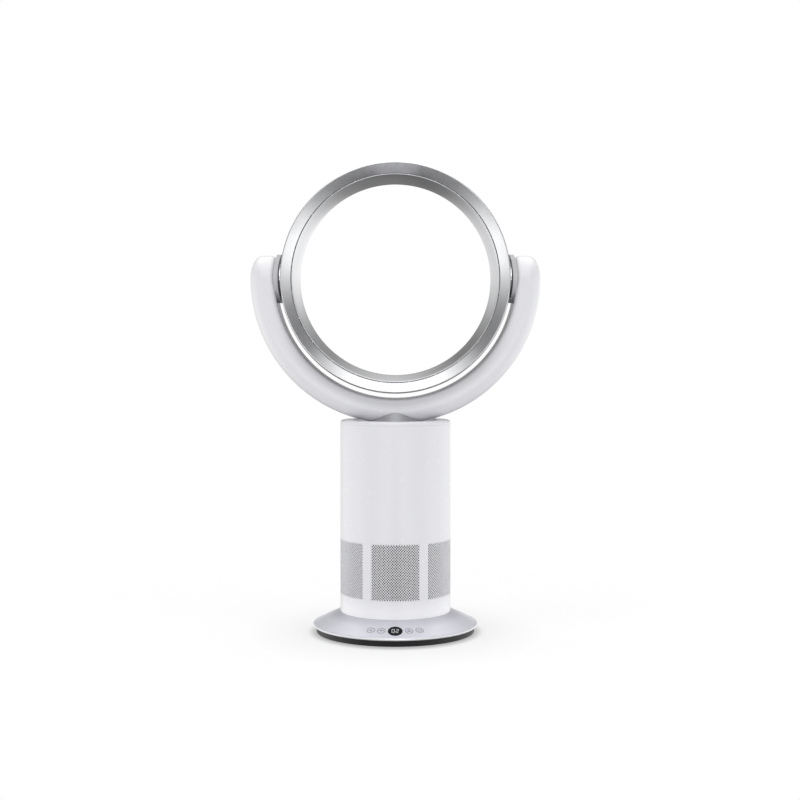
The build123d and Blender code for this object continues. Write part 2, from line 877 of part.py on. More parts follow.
# ---------------------------------------------------------------- swivel drive
with BuildPart() as neck_bearing:
    tube(bearing_outer, neck_radius + slip, boss_bottom, dish_floor)
    tube(bearing_flange_radius, neck_radius + slip, dish_floor - bearing_flange, dish_floor)
keep(neck_bearing.part, "neck_bearing")

with BuildPart() as thrust_washer:
    tube(bearing_flange_radius, neck_radius + gap, dish_floor, dish_floor + washer_thickness)
keep(thrust_washer.part, "thrust_washer")


def involute(angle):
    """The involute of an angle in radians."""
    return tan(angle) - angle


def tooth(teeth):
    """Draws one gear tooth along +X, thinned for its share of the backlash."""
    pitch = gear_module * teeth / 2
    base = pitch * cos(radians(pressure_angle))
    root = pitch - tooth_root * gear_module
    half = pi / (2 * teeth) - backlash / (4 * pitch) + involute(radians(pressure_angle))
    flank = []
    for radius in (max(root, base), pitch, pitch + gear_module):
        angle = half - involute(acos(base / radius))
        flank.append((radius * cos(angle), radius * sin(angle)))
    sunk = (root - gear_module / 2) / hypot(*flank[0])
    flank.insert(0, (flank[0][0] * sunk, flank[0][1] * sunk))
    Polygon(*flank, *[(x, -y) for x, y in reversed(flank)], align=None)


with BuildPart() as swivel_gear:
    tooth_pitch = 360 / gear_teeth
    sector = sector_teeth * tooth_pitch
    gear_root = gear_radius - tooth_root * gear_module
    sector_edge = (gear_root * sin(radians(sector / 2)), gear_root * cos(radians(sector / 2)))
    tube(neck_radius + gear_rim, neck_radius, gear_bottom, gear_top)
    with BuildSketch(Plane.XY.offset(gear_bottom)):
        with BuildLine():
            ThreePointArc(sector_edge, (0, gear_root), (-sector_edge[0], sector_edge[1]))
            Polyline((-sector_edge[0], sector_edge[1]), (0, 0), sector_edge)
        make_face()
        with PolarLocations(0, sector_teeth, 90 - (sector - tooth_pitch) / 2, sector - tooth_pitch, endpoint=True):
            tooth(gear_teeth)
        Circle(neck_radius + gear_rim / 2, mode=Mode.SUBTRACT)
    extrude(amount=gear_height)
keep(swivel_gear.part, "swivel_gear")

with BuildPart() as swivel_pinion:
    with BuildSketch(Plane((0, drive_distance, gear_bottom))):
        Circle(pinion_radius - tooth_root * gear_module)
        with PolarLocations(0, pinion_teeth, -90 + 180 / pinion_teeth):
            tooth(pinion_teeth)
        Circle(pinion_shaft_radius, mode=Mode.SUBTRACT)
    extrude(amount=gear_height)
keep(swivel_pinion.part, "swivel_pinion")

with BuildPart() as pinion_shaft:
    with BuildSketch(Plane((0, drive_distance, stepper_top - shaft_socket))):
        Circle(pinion_shaft_radius)
    extrude(amount=gear_top - stepper_top + shaft_socket)
keep(pinion_shaft.part, "pinion_shaft")

with BuildPart() as swivel_motor:
    with BuildSketch(Plane((0, drive_distance + stepper_offset, stepper_top - stepper_height))):
        Circle(stepper_radius)
    extrude(amount=stepper_height)
    with BuildSketch(Plane((0, drive_distance, stepper_top))):
        Circle(stepper_boss_radius)
    extrude(amount=stepper_boss)
    with BuildSketch(Plane((0, drive_distance, stepper_top - shaft_socket - slip))):
        Circle(pinion_shaft_radius + slip)
    extrude(amount=shaft_socket + slip + stepper_boss, mode=Mode.SUBTRACT)
keep(swivel_motor.part, "swivel_motor")

with BuildPart() as motor_bracket:
    with BuildSketch(Plane.XY.offset(stepper_top)):
        with Locations((0, drive_distance + stepper_offset)):
            SlotCenterToCenter(2 * bracket_post_spread, 2 * bracket_post_radius)
            Circle(stepper_radius)
        with Locations((0, drive_distance)):
            Circle(stepper_boss_radius + slip, mode=Mode.SUBTRACT)
        with bracket_spots:
            Circle(screw_radius + slip, mode=Mode.SUBTRACT)
    extrude(amount=bracket_thickness)
keep(motor_bracket.part, "motor_bracket")
keep(screw_group(stepper_top - screw_head_height, bracket_spots), "bracket_screws")


# ---------------------------------------------------------------- yoke and neck
def yoke_half(inset, floor):
    """The rear half of the yoke's form, drawn in by an inset, flat at the floor's height."""
    depth = yoke_half_depth - inset
    with BuildSketch(ring_plane) as section:
        with BuildLine():
            Line((yoke_inner_radius + inset, 0), (yoke_inner_radius + inset, yoke_flat))
            EllipticalCenterArc(
                (yoke_corner, yoke_flat),
                yoke_corner_radial - inset,
                yoke_corner_depth - inset,
                start_angle=quarter_turn,
                arc_size=quarter_turn,
            )
            Line((yoke_corner, depth), (yoke_middle, depth))
            EllipticalCenterArc((yoke_middle, 0), yoke_crown - inset, depth, start_angle=0, arc_size=quarter_turn)
            Line((yoke_outer_radius - inset, 0), (yoke_inner_radius + inset, 0))
        make_face()
    with BuildPart() as half:
        revolve(section.sketch, axis=ring_axis, revolution_arc=2 * quarter_turn)
        end = revolve(section.sketch, axis=tilt_axis, revolution_arc=quarter_turn)
        mirror(end, about=Plane.YZ)
        split(bisect_by=Plane.XY.offset(floor), keep=Keep.TOP)
    return half.part


yoke_rear_form = yoke_half(0, yoke_cut)
yoke_cavity = yoke_half(yoke_wall, yoke_cut + yoke_wall)
yoke_form = yoke_rear_form + mirror(yoke_rear_form, about=Plane.XZ)
neck_screw_spots = GridLocations(2 * neck_screw_across, 2 * neck_screw_back, 2, 2)
yoke_screw_spots = Locations(
    *[
        (yoke_screw_circle * cos(radians(angle)), -yoke_screw_circle * sin(radians(angle)))
        for angle in yoke_screw_angles
    ]
)


def bore(radius, start, end):
    """Cuts a round hole along the yoke screws' axes, between two depths."""
    with BuildSketch(depth_plane(end)) as holes:
        with yoke_screw_spots:
            Circle(radius)
    extrude(holes.sketch, amount=end - start, mode=Mode.SUBTRACT)


with BuildPart() as neck:
    tube(neck_radius, neck_bore, neck_bottom, neck_base + neck_flange)
    with BuildSketch(Plane.XZ):
        Polygon(
            (neck_bore, neck_base),
            (collar_radius, neck_base),
            (collar_top_radius, collar_top),
            (neck_bore, collar_top),
            align=None,
        )
    revolve(axis=Axis.Z)
    add(yoke_form, mode=Mode.SUBTRACT)
    drill(neck_screw_spots, screw_head_radius + slip, neck_base, screw_head_height)
    drill(neck_screw_spots, screw_radius + slip, neck_base, neck_flange)
    with BuildSketch(Plane.XY.offset(clip_bottom)):
        annulus(neck_radius, neck_radius - clip_groove)
    extrude(amount=clip_thickness, mode=Mode.SUBTRACT)
keep(neck.part, "neck")
keep(screw_group(neck_base, neck_screw_spots), "neck_screws")

with BuildPart() as neck_clip:
    with BuildSketch(Plane.XY.offset(clip_bottom)):
        annulus(neck_radius + clip_width, neck_radius - clip_groove)
        with Locations((0, -neck_radius)):
            Rectangle(clip_opening, clip_opening, mode=Mode.SUBTRACT)
    extrude(amount=clip_thickness)
keep(neck_clip.part, "neck_clip")

with BuildPart() as yoke_inserts:
    with BuildSketch(depth_plane(0)):
        with yoke_screw_spots:
            Circle(yoke_boss_radius)
    extrude(amount=-yoke_half_depth)
    with BuildSketch(Plane.XY.offset(yoke_cut)):
        with neck_screw_spots:
            Circle(yoke_boss_radius)
    extrude(amount=screw_length)
    for side in (1, -1):
        with BuildSketch(tilt_plane(side * yoke_inner_radius)):
            Circle(hub_tube_radius + hub_nut_wall + yoke_wall)
        extrude(amount=side * (hub_land - yoke_inner_radius))
    add(yoke_rear_form, mode=Mode.INTERSECT)

with BuildPart() as yoke_blank:
    add(yoke_rear_form)
    add(yoke_cavity, mode=Mode.SUBTRACT)
    add(yoke_inserts.part)
    with BuildSketch(Plane.XY.offset(yoke_cut)):
        Circle(neck_bore)
    extrude(amount=yoke_crown / 2, mode=Mode.SUBTRACT)
    with BuildSketch(tilt_plane(-hub_land)):
        Circle(hub_tube_radius + slip)
    extrude(amount=2 * hub_land, mode=Mode.SUBTRACT)
    drill(neck_screw_spots, screw_radius, yoke_cut, screw_length - neck_flange + slip)

with BuildPart() as yoke_rear_shell:
    add(yoke_blank.part)
    bore(screw_head_radius + seat, yoke_screw_seat, yoke_half_depth)
    bore(screw_radius + slip, 0, yoke_screw_seat)
keep(yoke_rear_shell.part, "yoke_rear_shell")

with BuildPart() as yoke_front_shell:
    add(mirror(yoke_blank.part, about=Plane.XZ))
    bore(screw_radius, -screw_length, 0)
keep(yoke_front_shell.part, "yoke_front_shell")

with BuildPart() as yoke_screws:
    with BuildSketch(depth_plane(yoke_screw_seat + screw_head_height)):
        with yoke_screw_spots:
            Circle(screw_head_radius)
    extrude(amount=screw_head_height)
    with BuildSketch(depth_plane(yoke_screw_seat)):
        with yoke_screw_spots:
            Circle(screw_radius - slip)
    extrude(amount=screw_length)
keep(yoke_screws.part, "yoke_screws")

# ---------------------------------------------------------------- pivots
with BuildPart() as pivot_hub:
    with BuildSketch(depth_plane(drum_radius)):
        annulus(drum_outer_reach, drum_inner_reach)
    extrude(amount=2 * drum_radius)
    with BuildSketch(tilt_plane(0)):
        Circle(drum_radius)
    extrude(amount=drum_outer_reach, mode=Mode.INTERSECT)
    add(yoke_form, mode=Mode.SUBTRACT)
    with BuildSketch(tilt_plane(hub_face)):
        Circle(hub_tube_radius)
    extrude(amount=hub_end - hub_face)
    with BuildSketch(tilt_plane(0)):
        Circle(pad_radius + gap)
    extrude(amount=hub_face, mode=Mode.SUBTRACT)
    with BuildSketch(tilt_plane(0)):
        Circle(journal_radius + slip)
    extrude(amount=hub_end, mode=Mode.SUBTRACT)
keep(pivot_hub.part, "pivot_hub_right")
keep(mirror(pivot_hub.part, about=Plane.YZ), "pivot_hub_left")


def both_pivots(radius, opening, start, end):
    """A ring round the tilt axis at each pivot."""
    with BuildPart() as rings:
        with BuildSketch(tilt_plane(start)):
            annulus(radius, opening)
        right = extrude(amount=end - start)
        mirror(right, about=Plane.YZ)
    return rings.part


keep(
    both_pivots(hub_tube_radius + hub_nut_wall, hub_tube_radius, hub_land, hub_end),
    "pivot_nuts",
)
keep(
    both_pivots(pad_radius, journal_radius + slip, hub_face - friction_ring_thickness, hub_face),
    "friction_rings",
)
journal_clip_face = hub_end + slip
keep(
    both_pivots(
        journal_radius + clip_width,
        journal_radius - clip_groove,
        journal_clip_face,
        journal_clip_face + clip_thickness,
    ),
    "journal_clips",
)

with BuildPart() as journal:
    with BuildSketch(tilt_plane(pad_inner_face - journal_flange)):
        annulus(journal_flange_radius, journal_bore)
    extrude(amount=journal_flange)
    with BuildSketch(tilt_plane(pad_inner_face)):
        annulus(journal_radius, journal_bore)
    extrude(amount=journal_end - pad_inner_face)
    with BuildSketch(tilt_plane(journal_clip_face)):
        annulus(journal_radius, journal_radius - clip_groove)
    extrude(amount=clip_thickness, mode=Mode.SUBTRACT)
keep(journal.part, "journal_right")
keep(mirror(journal.part, about=Plane.YZ), "journal_left")

# ---------------------------------------------------------------- ring
rear_corner = rear - rear_round_depth
belly_middle = (front + rear_corner) / 2
belly_span = (rear_corner - front) / 2
belly_arc = (belly_span**2 + ring_belly**2) / (2 * ring_belly)
rim_seam = front + rim_depth
slot_depth = front + flare_depth
slot_inner = slot_radius - slot_gap
mouth_seat = rear - mouth_round


def skin(depth, inset=0.0):
    """Radius of the ring's bulging outer skin at a depth, or of a skin inside it."""
    return ring_radius + ring_belly - belly_arc + sqrt((belly_arc - inset) ** 2 - (depth - belly_middle) ** 2)


def skin_arc(start, end, inset=0.0):
    """Draws the skin between two depths."""
    middle = (start + end) / 2
    return ThreePointArc((skin(start, inset), start), (skin(middle, inset), middle), (skin(end, inset), end))


with BuildPart() as ring_front:
    tongue_outer = skin(rim_seam, ring_wall) - seat
    flare_rise = (skin(front) - rim_width - slot_radius) / flare_depth
    solid_depth = front + rim_solid
    with BuildSketch(ring_plane):
        with BuildLine():
            skin_arc(front, rim_seam)
            Polyline(
                (skin(rim_seam), rim_seam),
                (tongue_outer, rim_seam),
                (tongue_outer, rim_seam + tongue_length),
                (tongue_outer - tongue_wall, rim_seam + tongue_length),
                (tongue_outer - tongue_wall, solid_depth),
                (slot_radius + ring_wall + flare_rise * (slot_depth - solid_depth), solid_depth),
                (slot_radius + ring_wall, slot_depth),
                (slot_radius + ring_wall, slot_depth + nozzle_length),
                (slot_radius, slot_depth + nozzle_length),
                (slot_radius, slot_depth),
                (skin(front) - rim_width, front),
                (skin(front), front),
            )
        make_face()
    revolve(axis=ring_axis)
keep(ring_front.part, "ring_front")

with BuildPart() as ring_casing:
    mouth_centre = throat_radius + mouth_round
    collar_inner = throat_radius + throat_wall + seat
    rear_edge = ring_radius - rear_round_width
    with BuildSketch(ring_plane):
        with BuildLine():
            skin_arc(rim_seam, rear_corner)
            ThreePointArc(
                (ring_radius, rear_corner),
                (
                    rear_edge + rear_round_width * diagonal,
                    rear_corner + rear_round_depth * diagonal,
                ),
                (rear_edge, rear),
            )
            Line((rear_edge, rear), (mouth_centre, rear))
            CenterArc((mouth_centre, mouth_seat), mouth_round, 90, 90)
            Polyline(
                (throat_radius, mouth_seat),
                (collar_inner, mouth_seat),
                (collar_inner, mouth_seat - mouth_collar),
                (collar_inner + ring_wall, mouth_seat - mouth_collar),
                (collar_inner + ring_wall, mouth_seat),
                (mouth_centre, rear - ring_wall),
                (rear_edge, rear - ring_wall),
            )
            ThreePointArc(
                (rear_edge, rear - ring_wall),
                (
                    rear_edge + (rear_round_width - ring_wall) * diagonal,
                    rear_corner + (rear_round_depth - ring_wall) * diagonal,
                ),
                (skin(rear_corner, ring_wall), rear_corner),
            )
            skin_arc(rim_seam, rear_corner, ring_wall)
            Line((skin(rim_seam, ring_wall), rim_seam), (skin(rim_seam), rim_seam))
        make_face()
    revolve(axis=ring_axis)
    for side in (1, -1):
        with BuildSketch(tilt_plane(side * pad_inner_face)):
            Circle(pad_radius)
        extrude(amount=side * (pad_face - pad_inner_face))
    with BuildSketch(tilt_plane(-pad_face)):
        Circle(journal_radius + slip)
    extrude(amount=2 * pad_face, mode=Mode.SUBTRACT)
keep(ring_casing.part, "ring_casing")

with BuildPart() as ring_throat:
    sleeve_front = -throat_front
    nozzle_back = slot_depth + nozzle_length
    throat_middle = (sleeve_front + mouth_seat) / 2
    lip_radius_inner = slot_inner - throat_edge
    sleeve_outer = throat_radius + throat_wall
    with BuildSketch(ring_plane):
        with BuildLine():
            ThreePointArc(
                (lip_radius_inner, sleeve_front),
                ((lip_radius_inner + throat_radius) / 2 - throat_bulge, throat_middle),
                (throat_radius, mouth_seat - slip),
            )
            Polyline(
                (throat_radius, mouth_seat - slip),
                (sleeve_outer, mouth_seat - slip),
                (sleeve_outer, mouth_seat - mouth_collar),
            )
            ThreePointArc(
                (sleeve_outer, mouth_seat - mouth_collar),
                (
                    (sleeve_outer + slot_inner) / 2 - throat_bulge / 2,
                    (mouth_seat - mouth_collar + nozzle_back) / 2,
                ),
                (slot_inner, nozzle_back),
            )
            Polyline((slot_inner, nozzle_back), (slot_inner, sleeve_front), (lip_radius_inner, sleeve_front))
        make_face()
    revolve(axis=ring_axis)
    spacer_height = slot_gap - slip + spacer_root
    with BuildSketch(depth_plane(nozzle_back - spacer_width)):
        with PolarLocations(slot_radius - slip - spacer_height / 2, spacer_count):
            Rectangle(spacer_height, spacer_width)
    extrude(amount=spacer_length)
keep(ring_throat.part, "ring_throat")
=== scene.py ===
"""Looks of the bladeless fan: meshes, materials, light and camera.

The fan's lengths are in millimetres until a mesh or a material takes them. The floor, the lamps and the camera
are in metres.
"""

import json
from math import asin, atan, cos, pi, radians, sin, sqrt, tan

import bmesh
import bpy
from mathutils import Matrix, Vector


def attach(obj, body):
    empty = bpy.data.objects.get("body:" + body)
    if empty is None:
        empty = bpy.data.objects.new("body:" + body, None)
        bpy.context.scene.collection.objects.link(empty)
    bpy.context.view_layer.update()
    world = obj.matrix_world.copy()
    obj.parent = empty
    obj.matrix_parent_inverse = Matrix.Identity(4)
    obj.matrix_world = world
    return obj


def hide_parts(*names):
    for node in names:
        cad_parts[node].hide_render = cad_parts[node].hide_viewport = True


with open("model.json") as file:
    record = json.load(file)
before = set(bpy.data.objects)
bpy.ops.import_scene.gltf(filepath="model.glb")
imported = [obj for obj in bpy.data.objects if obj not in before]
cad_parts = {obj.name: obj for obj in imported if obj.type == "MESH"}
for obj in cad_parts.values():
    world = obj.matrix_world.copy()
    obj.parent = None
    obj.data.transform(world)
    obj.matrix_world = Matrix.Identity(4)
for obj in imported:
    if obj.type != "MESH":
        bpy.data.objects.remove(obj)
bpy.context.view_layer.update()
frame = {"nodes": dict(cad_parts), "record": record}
nodes = frame["nodes"]
slots = {row["node"]: row["material_slot"] for row in frame["record"]["subparts"]}

MM = 0.001
RING_HEIGHT = 563.0  # centre of the ring, and height of its tilt axis
PURE_WHITE = (1.0, 1.0, 1.0)
NOISE_LOW, NOISE_HIGH = 0.3, 0.7  # a noise texture seldom leaves this range


# ---------------------------------------------------------------- node helpers
class Nodes:
    """A node tree, with short ways to add to it."""

    def __init__(self, tree):
        self.tree = tree
        self.tree.nodes.clear()

    def add(self, kind, **settings):
        node = self.tree.nodes.new(kind)
        for key, value in settings.items():
            setattr(node, key, value)
        return node

    def link(self, start, end):
        self.tree.links.new(start, end)

    def feed(self, socket, value):
        """Sets a socket to a number or a colour, or links another socket to it."""
        if isinstance(value, tuple):
            socket.default_value = (*value, 1.0)
        elif isinstance(value, (int, float)):
            socket.default_value = value
        else:
            self.link(value, socket)

    def maths(self, operation, *values, clamp=False):
        node = self.add("ShaderNodeMath", operation=operation, use_clamp=clamp)
        for socket, value in zip(node.inputs, values):
            self.feed(socket, value)
        return node.outputs[0]

    def length(self, vector):
        node = self.add("ShaderNodeVectorMath", operation="LENGTH")
        self.link(vector, node.inputs[0])
        return node.outputs["Value"]

    def split(self, vector):
        """The x, y and z of a vector."""
        node = self.add("ShaderNodeSeparateXYZ")
        self.link(vector, node.inputs[0])
        return node.outputs

    def ramp(self, value, stops):
        """A colour ramp over (position, colour) stops."""
        node = self.add("ShaderNodeValToRGB")
        self.link(value, node.inputs[0])
        elements = node.color_ramp.elements
        while len(elements) < len(stops):
            elements.new(0.5)
        for element, (position, colour) in zip(elements, stops):
            element.position = position
            element.color = (*colour, 1.0)
        return node.outputs[0]

    def blend(self, share, first, second):
        """The first shader with a share of the second."""
        node = self.add("ShaderNodeMixShader")
        for socket, source in zip(node.inputs, (share, first, second)):
            self.link(source, socket)
        return node.outputs[0]


class Graph(Nodes):
    """The nodes of one material, round its shader."""

    def __init__(self, name):
        self.material = bpy.data.materials.new(name)
        self.material.use_nodes = True
        super().__init__(self.material.node_tree)
        self.shader = self.add("ShaderNodeBsdfPrincipled")
        self.out = self.add("ShaderNodeOutputMaterial")
        self.link(self.shader.outputs[0], self.out.inputs["Surface"])
        self.place = self.add("ShaderNodeTexCoord").outputs["Object"]

    def stretched(self, x, y, z):
        """Object coordinates scaled along each axis."""
        node = self.add("ShaderNodeMapping")
        self.link(self.place, node.inputs["Vector"])
        node.inputs["Scale"].default_value = (x, y, z)
        return node.outputs[0]

    def texture(self, kind, scale, vector=None, **settings):
        node = self.add(kind, **settings)
        self.link(vector or self.place, node.inputs["Vector"])
        node.inputs["Scale"].default_value = scale
        return node

    def noise(self, scale, detail=3.0, vector=None):
        node = self.texture("ShaderNodeTexNoise", scale, vector)
        node.inputs["Detail"].default_value = detail
        return node.outputs[0]

    def spread(self, value, low, high, start=NOISE_LOW, end=NOISE_HIGH):
        """Maps the range from start to end smoothly onto low to high."""
        node = self.add("ShaderNodeMapRange", interpolation_type="SMOOTHSTEP")
        self.link(value, node.inputs["Value"])
        for key, number in (("From Min", start), ("From Max", end), ("To Min", low), ("To Max", high)):
            node.inputs[key].default_value = number
        return node.outputs[0]

    def mix(self, factor, first, second, blend="MIX"):
        node = self.add("ShaderNodeMix", data_type="RGBA", blend_type=blend)
        for socket, value in ((node.inputs[0], factor), (node.inputs[6], first), (node.inputs[7], second)):
            self.feed(socket, value)
        return node.outputs[2]

    def bump(self, height, strength, distance, normal=None):
        node = self.add("ShaderNodeBump")
        node.inputs["Strength"].default_value = strength
        node.inputs["Distance"].default_value = distance
        self.link(height, node.inputs["Height"])
        if normal:
            self.link(normal, node.inputs["Normal"])
        return node.outputs[0]

    def set(self, **values):
        """Sets or links the shader's sockets."""
        for key, value in values.items():
            self.feed(self.shader.inputs[key.replace("_", " ")], value)

    def linked(self, name):
        """What is linked to one of the shader's sockets so far."""
        return self.shader.inputs[name].links[0].from_socket


# ---------------------------------------------------------------- materials
def tone(colour, factor):
    return tuple(min(1.0, channel * factor) for channel in colour)


def moulded(name, colour, roughness, grain=700.0, depth=0.02, mottle=0.02, spread=0.05):
    """Moulded or lacquered plastic: faint mottle, fine grain and an uneven gloss."""
    g = Graph(name)
    fine = g.noise(grain, 4.0)
    base = g.ramp(
        g.noise(9.0, 2.0), [(NOISE_LOW, tone(colour, 1 - mottle)), (NOISE_HIGH, tone(colour, 1 + mottle))]
    )
    specks = g.ramp(fine, [(NOISE_LOW, tone(PURE_WHITE, 1 - 1.5 * mottle)), (0.6, PURE_WHITE)])
    g.set(
        Base_Color=g.mix(1.0, base, specks, "MULTIPLY"),
        Roughness=g.spread(g.noise(60.0, 5.0), roughness - spread, roughness + spread),
        IOR=1.46,
        Normal=g.bump(fine, 0.25, depth * MM),
    )
    return g


def metal(name, colour, roughness, stretch=(1, 1, 1), grain=500.0, depth=0.015, variation=0.08):
    """Bare metal with directional grain."""
    g = Graph(name)
    streaks = g.noise(grain, 4.0, g.stretched(*stretch))
    base = g.ramp(
        streaks, [(NOISE_LOW, tone(colour, 1 - variation)), (NOISE_HIGH, tone(colour, 1 + variation))]
    )
    tarnish = g.ramp(g.noise(14.0, 3.0), [(0.35, (0.93, 0.92, 0.90)), (0.65, PURE_WHITE)])
    g.set(
        Base_Color=g.mix(1.0, base, tarnish, "MULTIPLY"),
        Metallic=1.0,
        Roughness=g.spread(streaks, roughness - 0.07, roughness + 0.07),
        Normal=g.bump(streaks, 0.3, depth * MM),
    )
    return g


def white_shell():
    """Glossy white moulding: a clear top coat over faintly cool white."""
    white = (0.735, 0.735, 0.765)
    g = moulded("white_shell", white, 0.26, grain=420.0, depth=0.002, mottle=0.005, spread=0.015)
    g.set(Coat_Weight=0.3, Coat_Roughness=0.1)
    return g


def with_painted_inner_shade(name, g, radius, inner_shade_colour):
    """The finish outside a radius about the column's axis, and painted shade inside it: a dark colour for the
    shade inside the column.
    """
    g.material.name = name
    across = g.add("ShaderNodeVectorMath", operation="MULTIPLY")
    g.link(g.place, across.inputs[0])
    across.inputs[1].default_value = (1.0, 1.0, 0.0)
    # painted shade: inside this radius the colour turns dark, standing in for the shade inside the column
    inside = g.maths("LESS_THAN", g.length(across.outputs[0]), radius * MM)
    g.set(Base_Color=g.mix(inside, g.linked("Base Color"), inner_shade_colour))
    return g.material


def column_white():
    """The white moulding with painted shade inside, and painted light at its foot, which is lighter as if lit
    by the pale floor.
    """
    g = white_shell()
    # painted light: the column turns lighter towards its foot, standing in for light from the pale floor
    foot = g.spread(g.split(g.place)["Z"], 1.0, 0.0, 36 * MM, 70 * MM)
    g.set(Base_Color=g.mix(foot, g.linked("Base Color"), (0.89, 0.89, 0.915)))
    return with_painted_inner_shade("column_white", g, 87.0, (0.025, 0.025, 0.028))


def white_yoke():
    """The white moulding with the joint line of the two shells, painted shade on its lower inner side and
    painted light on its tips.
    """
    g = white_shell()
    g.material.name = "white_yoke"
    x, y, z = g.split(g.place)
    rise = g.maths("SUBTRACT", z, RING_HEIGHT * MM)
    radius = g.maths("SQRT", g.maths("ADD", g.maths("POWER", x, 2.0), g.maths("POWER", rise, 2.0)))
    # painted shade: the lower part of the yoke darkens towards its inner edge, for the shade under the ring
    inner_side = g.spread(radius, 1.0, 0.0, 190 * MM, 211 * MM)
    shade = g.maths("MULTIPLY", inner_side, g.spread(rise, 0.5, 0.0, -170 * MM, -50 * MM))
    # painted light: the tips turn lighter towards the top, for the light from above
    tips = g.spread(rise, 0.0, 1.0, 8 * MM, 40 * MM)
    seam = g.spread(g.maths("ABSOLUTE", y), 1.0, 0.0, 0.12 * MM, 0.3 * MM)
    shown = g.mix(shade, g.linked("Base Color"), (0.22, 0.22, 0.235))
    shown = g.mix(tips, shown, (0.93, 0.93, 0.94))
    g.set(
        Base_Color=g.mix(seam, shown, (0.30, 0.30, 0.32)),
        Normal=g.bump(seam, 0.6, -0.3 * MM, g.linked("Normal")),
    )
    return g.material


def silver_ring():
    """Metallic silver lacquer: fine flakes over a mirror-like base."""
    g = Graph("silver_ring")
    flakes = g.texture("ShaderNodeTexVoronoi", 2600.0)
    base = g.ramp(g.noise(7.0, 2.0), [(NOISE_LOW, (0.725, 0.728, 0.745)), (NOISE_HIGH, (0.755, 0.758, 0.772))])
    sparkle = g.ramp(flakes.outputs["Color"], [(0.0, (0.95, 0.95, 0.955)), (1.0, PURE_WHITE)])
    g.set(
        Base_Color=g.mix(1.0, base, sparkle, "MULTIPLY"),
        Metallic=1.0,
        Roughness=g.spread(g.noise(40.0, 4.0), 0.15, 0.19),
        Normal=g.bump(g.noise(1200.0, 3.0), 0.06, 0.01 * MM),
        Coat_Weight=0.3,
        Coat_Roughness=0.08,
    )
    return g.material


def grey_lacquer(name, colour):
    """Satin silver-grey lacquer with very fine flakes."""
    g = moulded(name, colour, 0.34, grain=420.0, depth=0.006, mottle=0.01, spread=0.04)
    g.set(Metallic=0.25, Coat_Weight=0.2, Coat_Roughness=0.12)
    return g


def grey_cover():
    """The grey lacquer with a painted highlight at the cover's rim, and painted shade at its top edge round
    the column.
    """
    g = grey_lacquer("grey_cover", (0.66, 0.66, 0.72))
    height = g.split(g.place)["Z"]
    # painted shade: darker towards the top edge, for the shade round the column's foot
    top_edge = g.spread(height, 0.0, 0.45, 24 * MM, 34 * MM)
    # painted highlight: a light line along the cover's rounded rim above the pan
    rim = g.spread(height, 1.0, 0.0, 12.9 * MM, 13.9 * MM)
    shown = g.mix(top_edge, g.linked("Base Color"), (0.38, 0.38, 0.42))
    g.set(Base_Color=g.mix(rim, shown, (0.93, 0.93, 0.95)))
    return g.material


def black_gloss():
    """Polished black window with the faintest mottle of smears."""
    g = moulded("black_gloss", (0.006, 0.006, 0.008), 0.06, grain=300.0, depth=0.002, mottle=0.15, spread=0.03)
    g.set(Specular_IOR_Level=0.22)
    return g.material


def board_green():
    """Solder mask with copper tracks showing under it."""
    g = Graph("board_green")
    tracks = g.texture("ShaderNodeTexBrick", 260.0)
    tracks.inputs["Mortar Size"].default_value = 0.04
    g.feed(tracks.inputs["Color1"], (0.030, 0.17, 0.080))
    g.feed(tracks.inputs["Color2"], (0.024, 0.14, 0.066))
    g.feed(tracks.inputs["Mortar"], (0.055, 0.25, 0.11))
    g.set(
        Base_Color=tracks.outputs["Color"],
        Roughness=g.spread(g.noise(300.0), 0.28, 0.38),
        Normal=g.bump(tracks.outputs["Fac"], 0.3, 0.03 * MM),
    )
    return g.material


def lamination():
    """Stacked sheets of steel, half a millimetre each."""
    g = metal("lamination", (0.36, 0.37, 0.39), 0.42, grain=700.0)
    sheets = g.texture("ShaderNodeTexWave", 320.0, wave_type="BANDS", bands_direction="Z")
    g.set(Normal=g.bump(sheets.outputs["Fac"], 0.7, 0.1 * MM))
    return g.material


def copper():
    """Enamelled wire, wound turn on turn."""
    g = metal("copper", (0.74, 0.34, 0.17), 0.30, grain=400.0)
    turns = g.texture("ShaderNodeTexWave", 420.0, wave_type="BANDS", bands_direction="DIAGONAL")
    g.set(Normal=g.bump(turns.outputs["Fac"], 0.8, 0.2 * MM))
    return g.material


def lit_segments():
    """Lit segments behind the window."""
    g = moulded("lit_segments", (0.55, 0.55, 0.58), 0.4, grain=2500.0, depth=0.002, mottle=0.05)
    g.set(Emission_Color=(0.86, 0.88, 0.92), Emission_Strength=0.3)
    return g.material


finishes = {
    "white_shell": white_shell().material,
    "column_white": column_white(),
    "white_yoke": white_yoke(),
    # the grille sheets and their gauze take painted shade inside this radius, for the shade behind the holes
    "grille_grey": with_painted_inner_shade("grille_white", white_shell(), 86.6, (0.05, 0.05, 0.054)),
    "silver_ring": silver_ring(),
    "grey_cover": grey_cover(),
    "neck_grey": grey_lacquer("neck_grey", (0.33, 0.33, 0.355)).material,
    "black_gloss": black_gloss(),
    "board_green": board_green(),
    "lamination": lamination(),
    "copper": copper(),
    "lit_segments": lit_segments(),
}
for name, colour, roughness, grain, depth, mottle in (
    ("black_pan", (0.008, 0.008, 0.010), 0.5, 900.0, 0.03, 0.1),
    ("drum_grey", (0.50, 0.50, 0.52), 0.34, 500.0, 0.01, 0.02),
    ("black_nylon", (0.045, 0.045, 0.05), 0.48, 600.0, 0.04, 0.08),
    ("natural_acetal", (0.80, 0.77, 0.69), 0.36, 700.0, 0.015, 0.03),
    ("rubber", (0.022, 0.022, 0.024), 0.72, 500.0, 0.06, 0.1),
    ("grey_rubber", (0.22, 0.22, 0.23), 0.7, 500.0, 0.04, 0.06),
    ("printed_grey", (0.06, 0.06, 0.068), 0.5, 2200.0, 0.004, 0.05),
):
    finishes[name] = moulded(name, colour, roughness, grain, depth, mottle).material
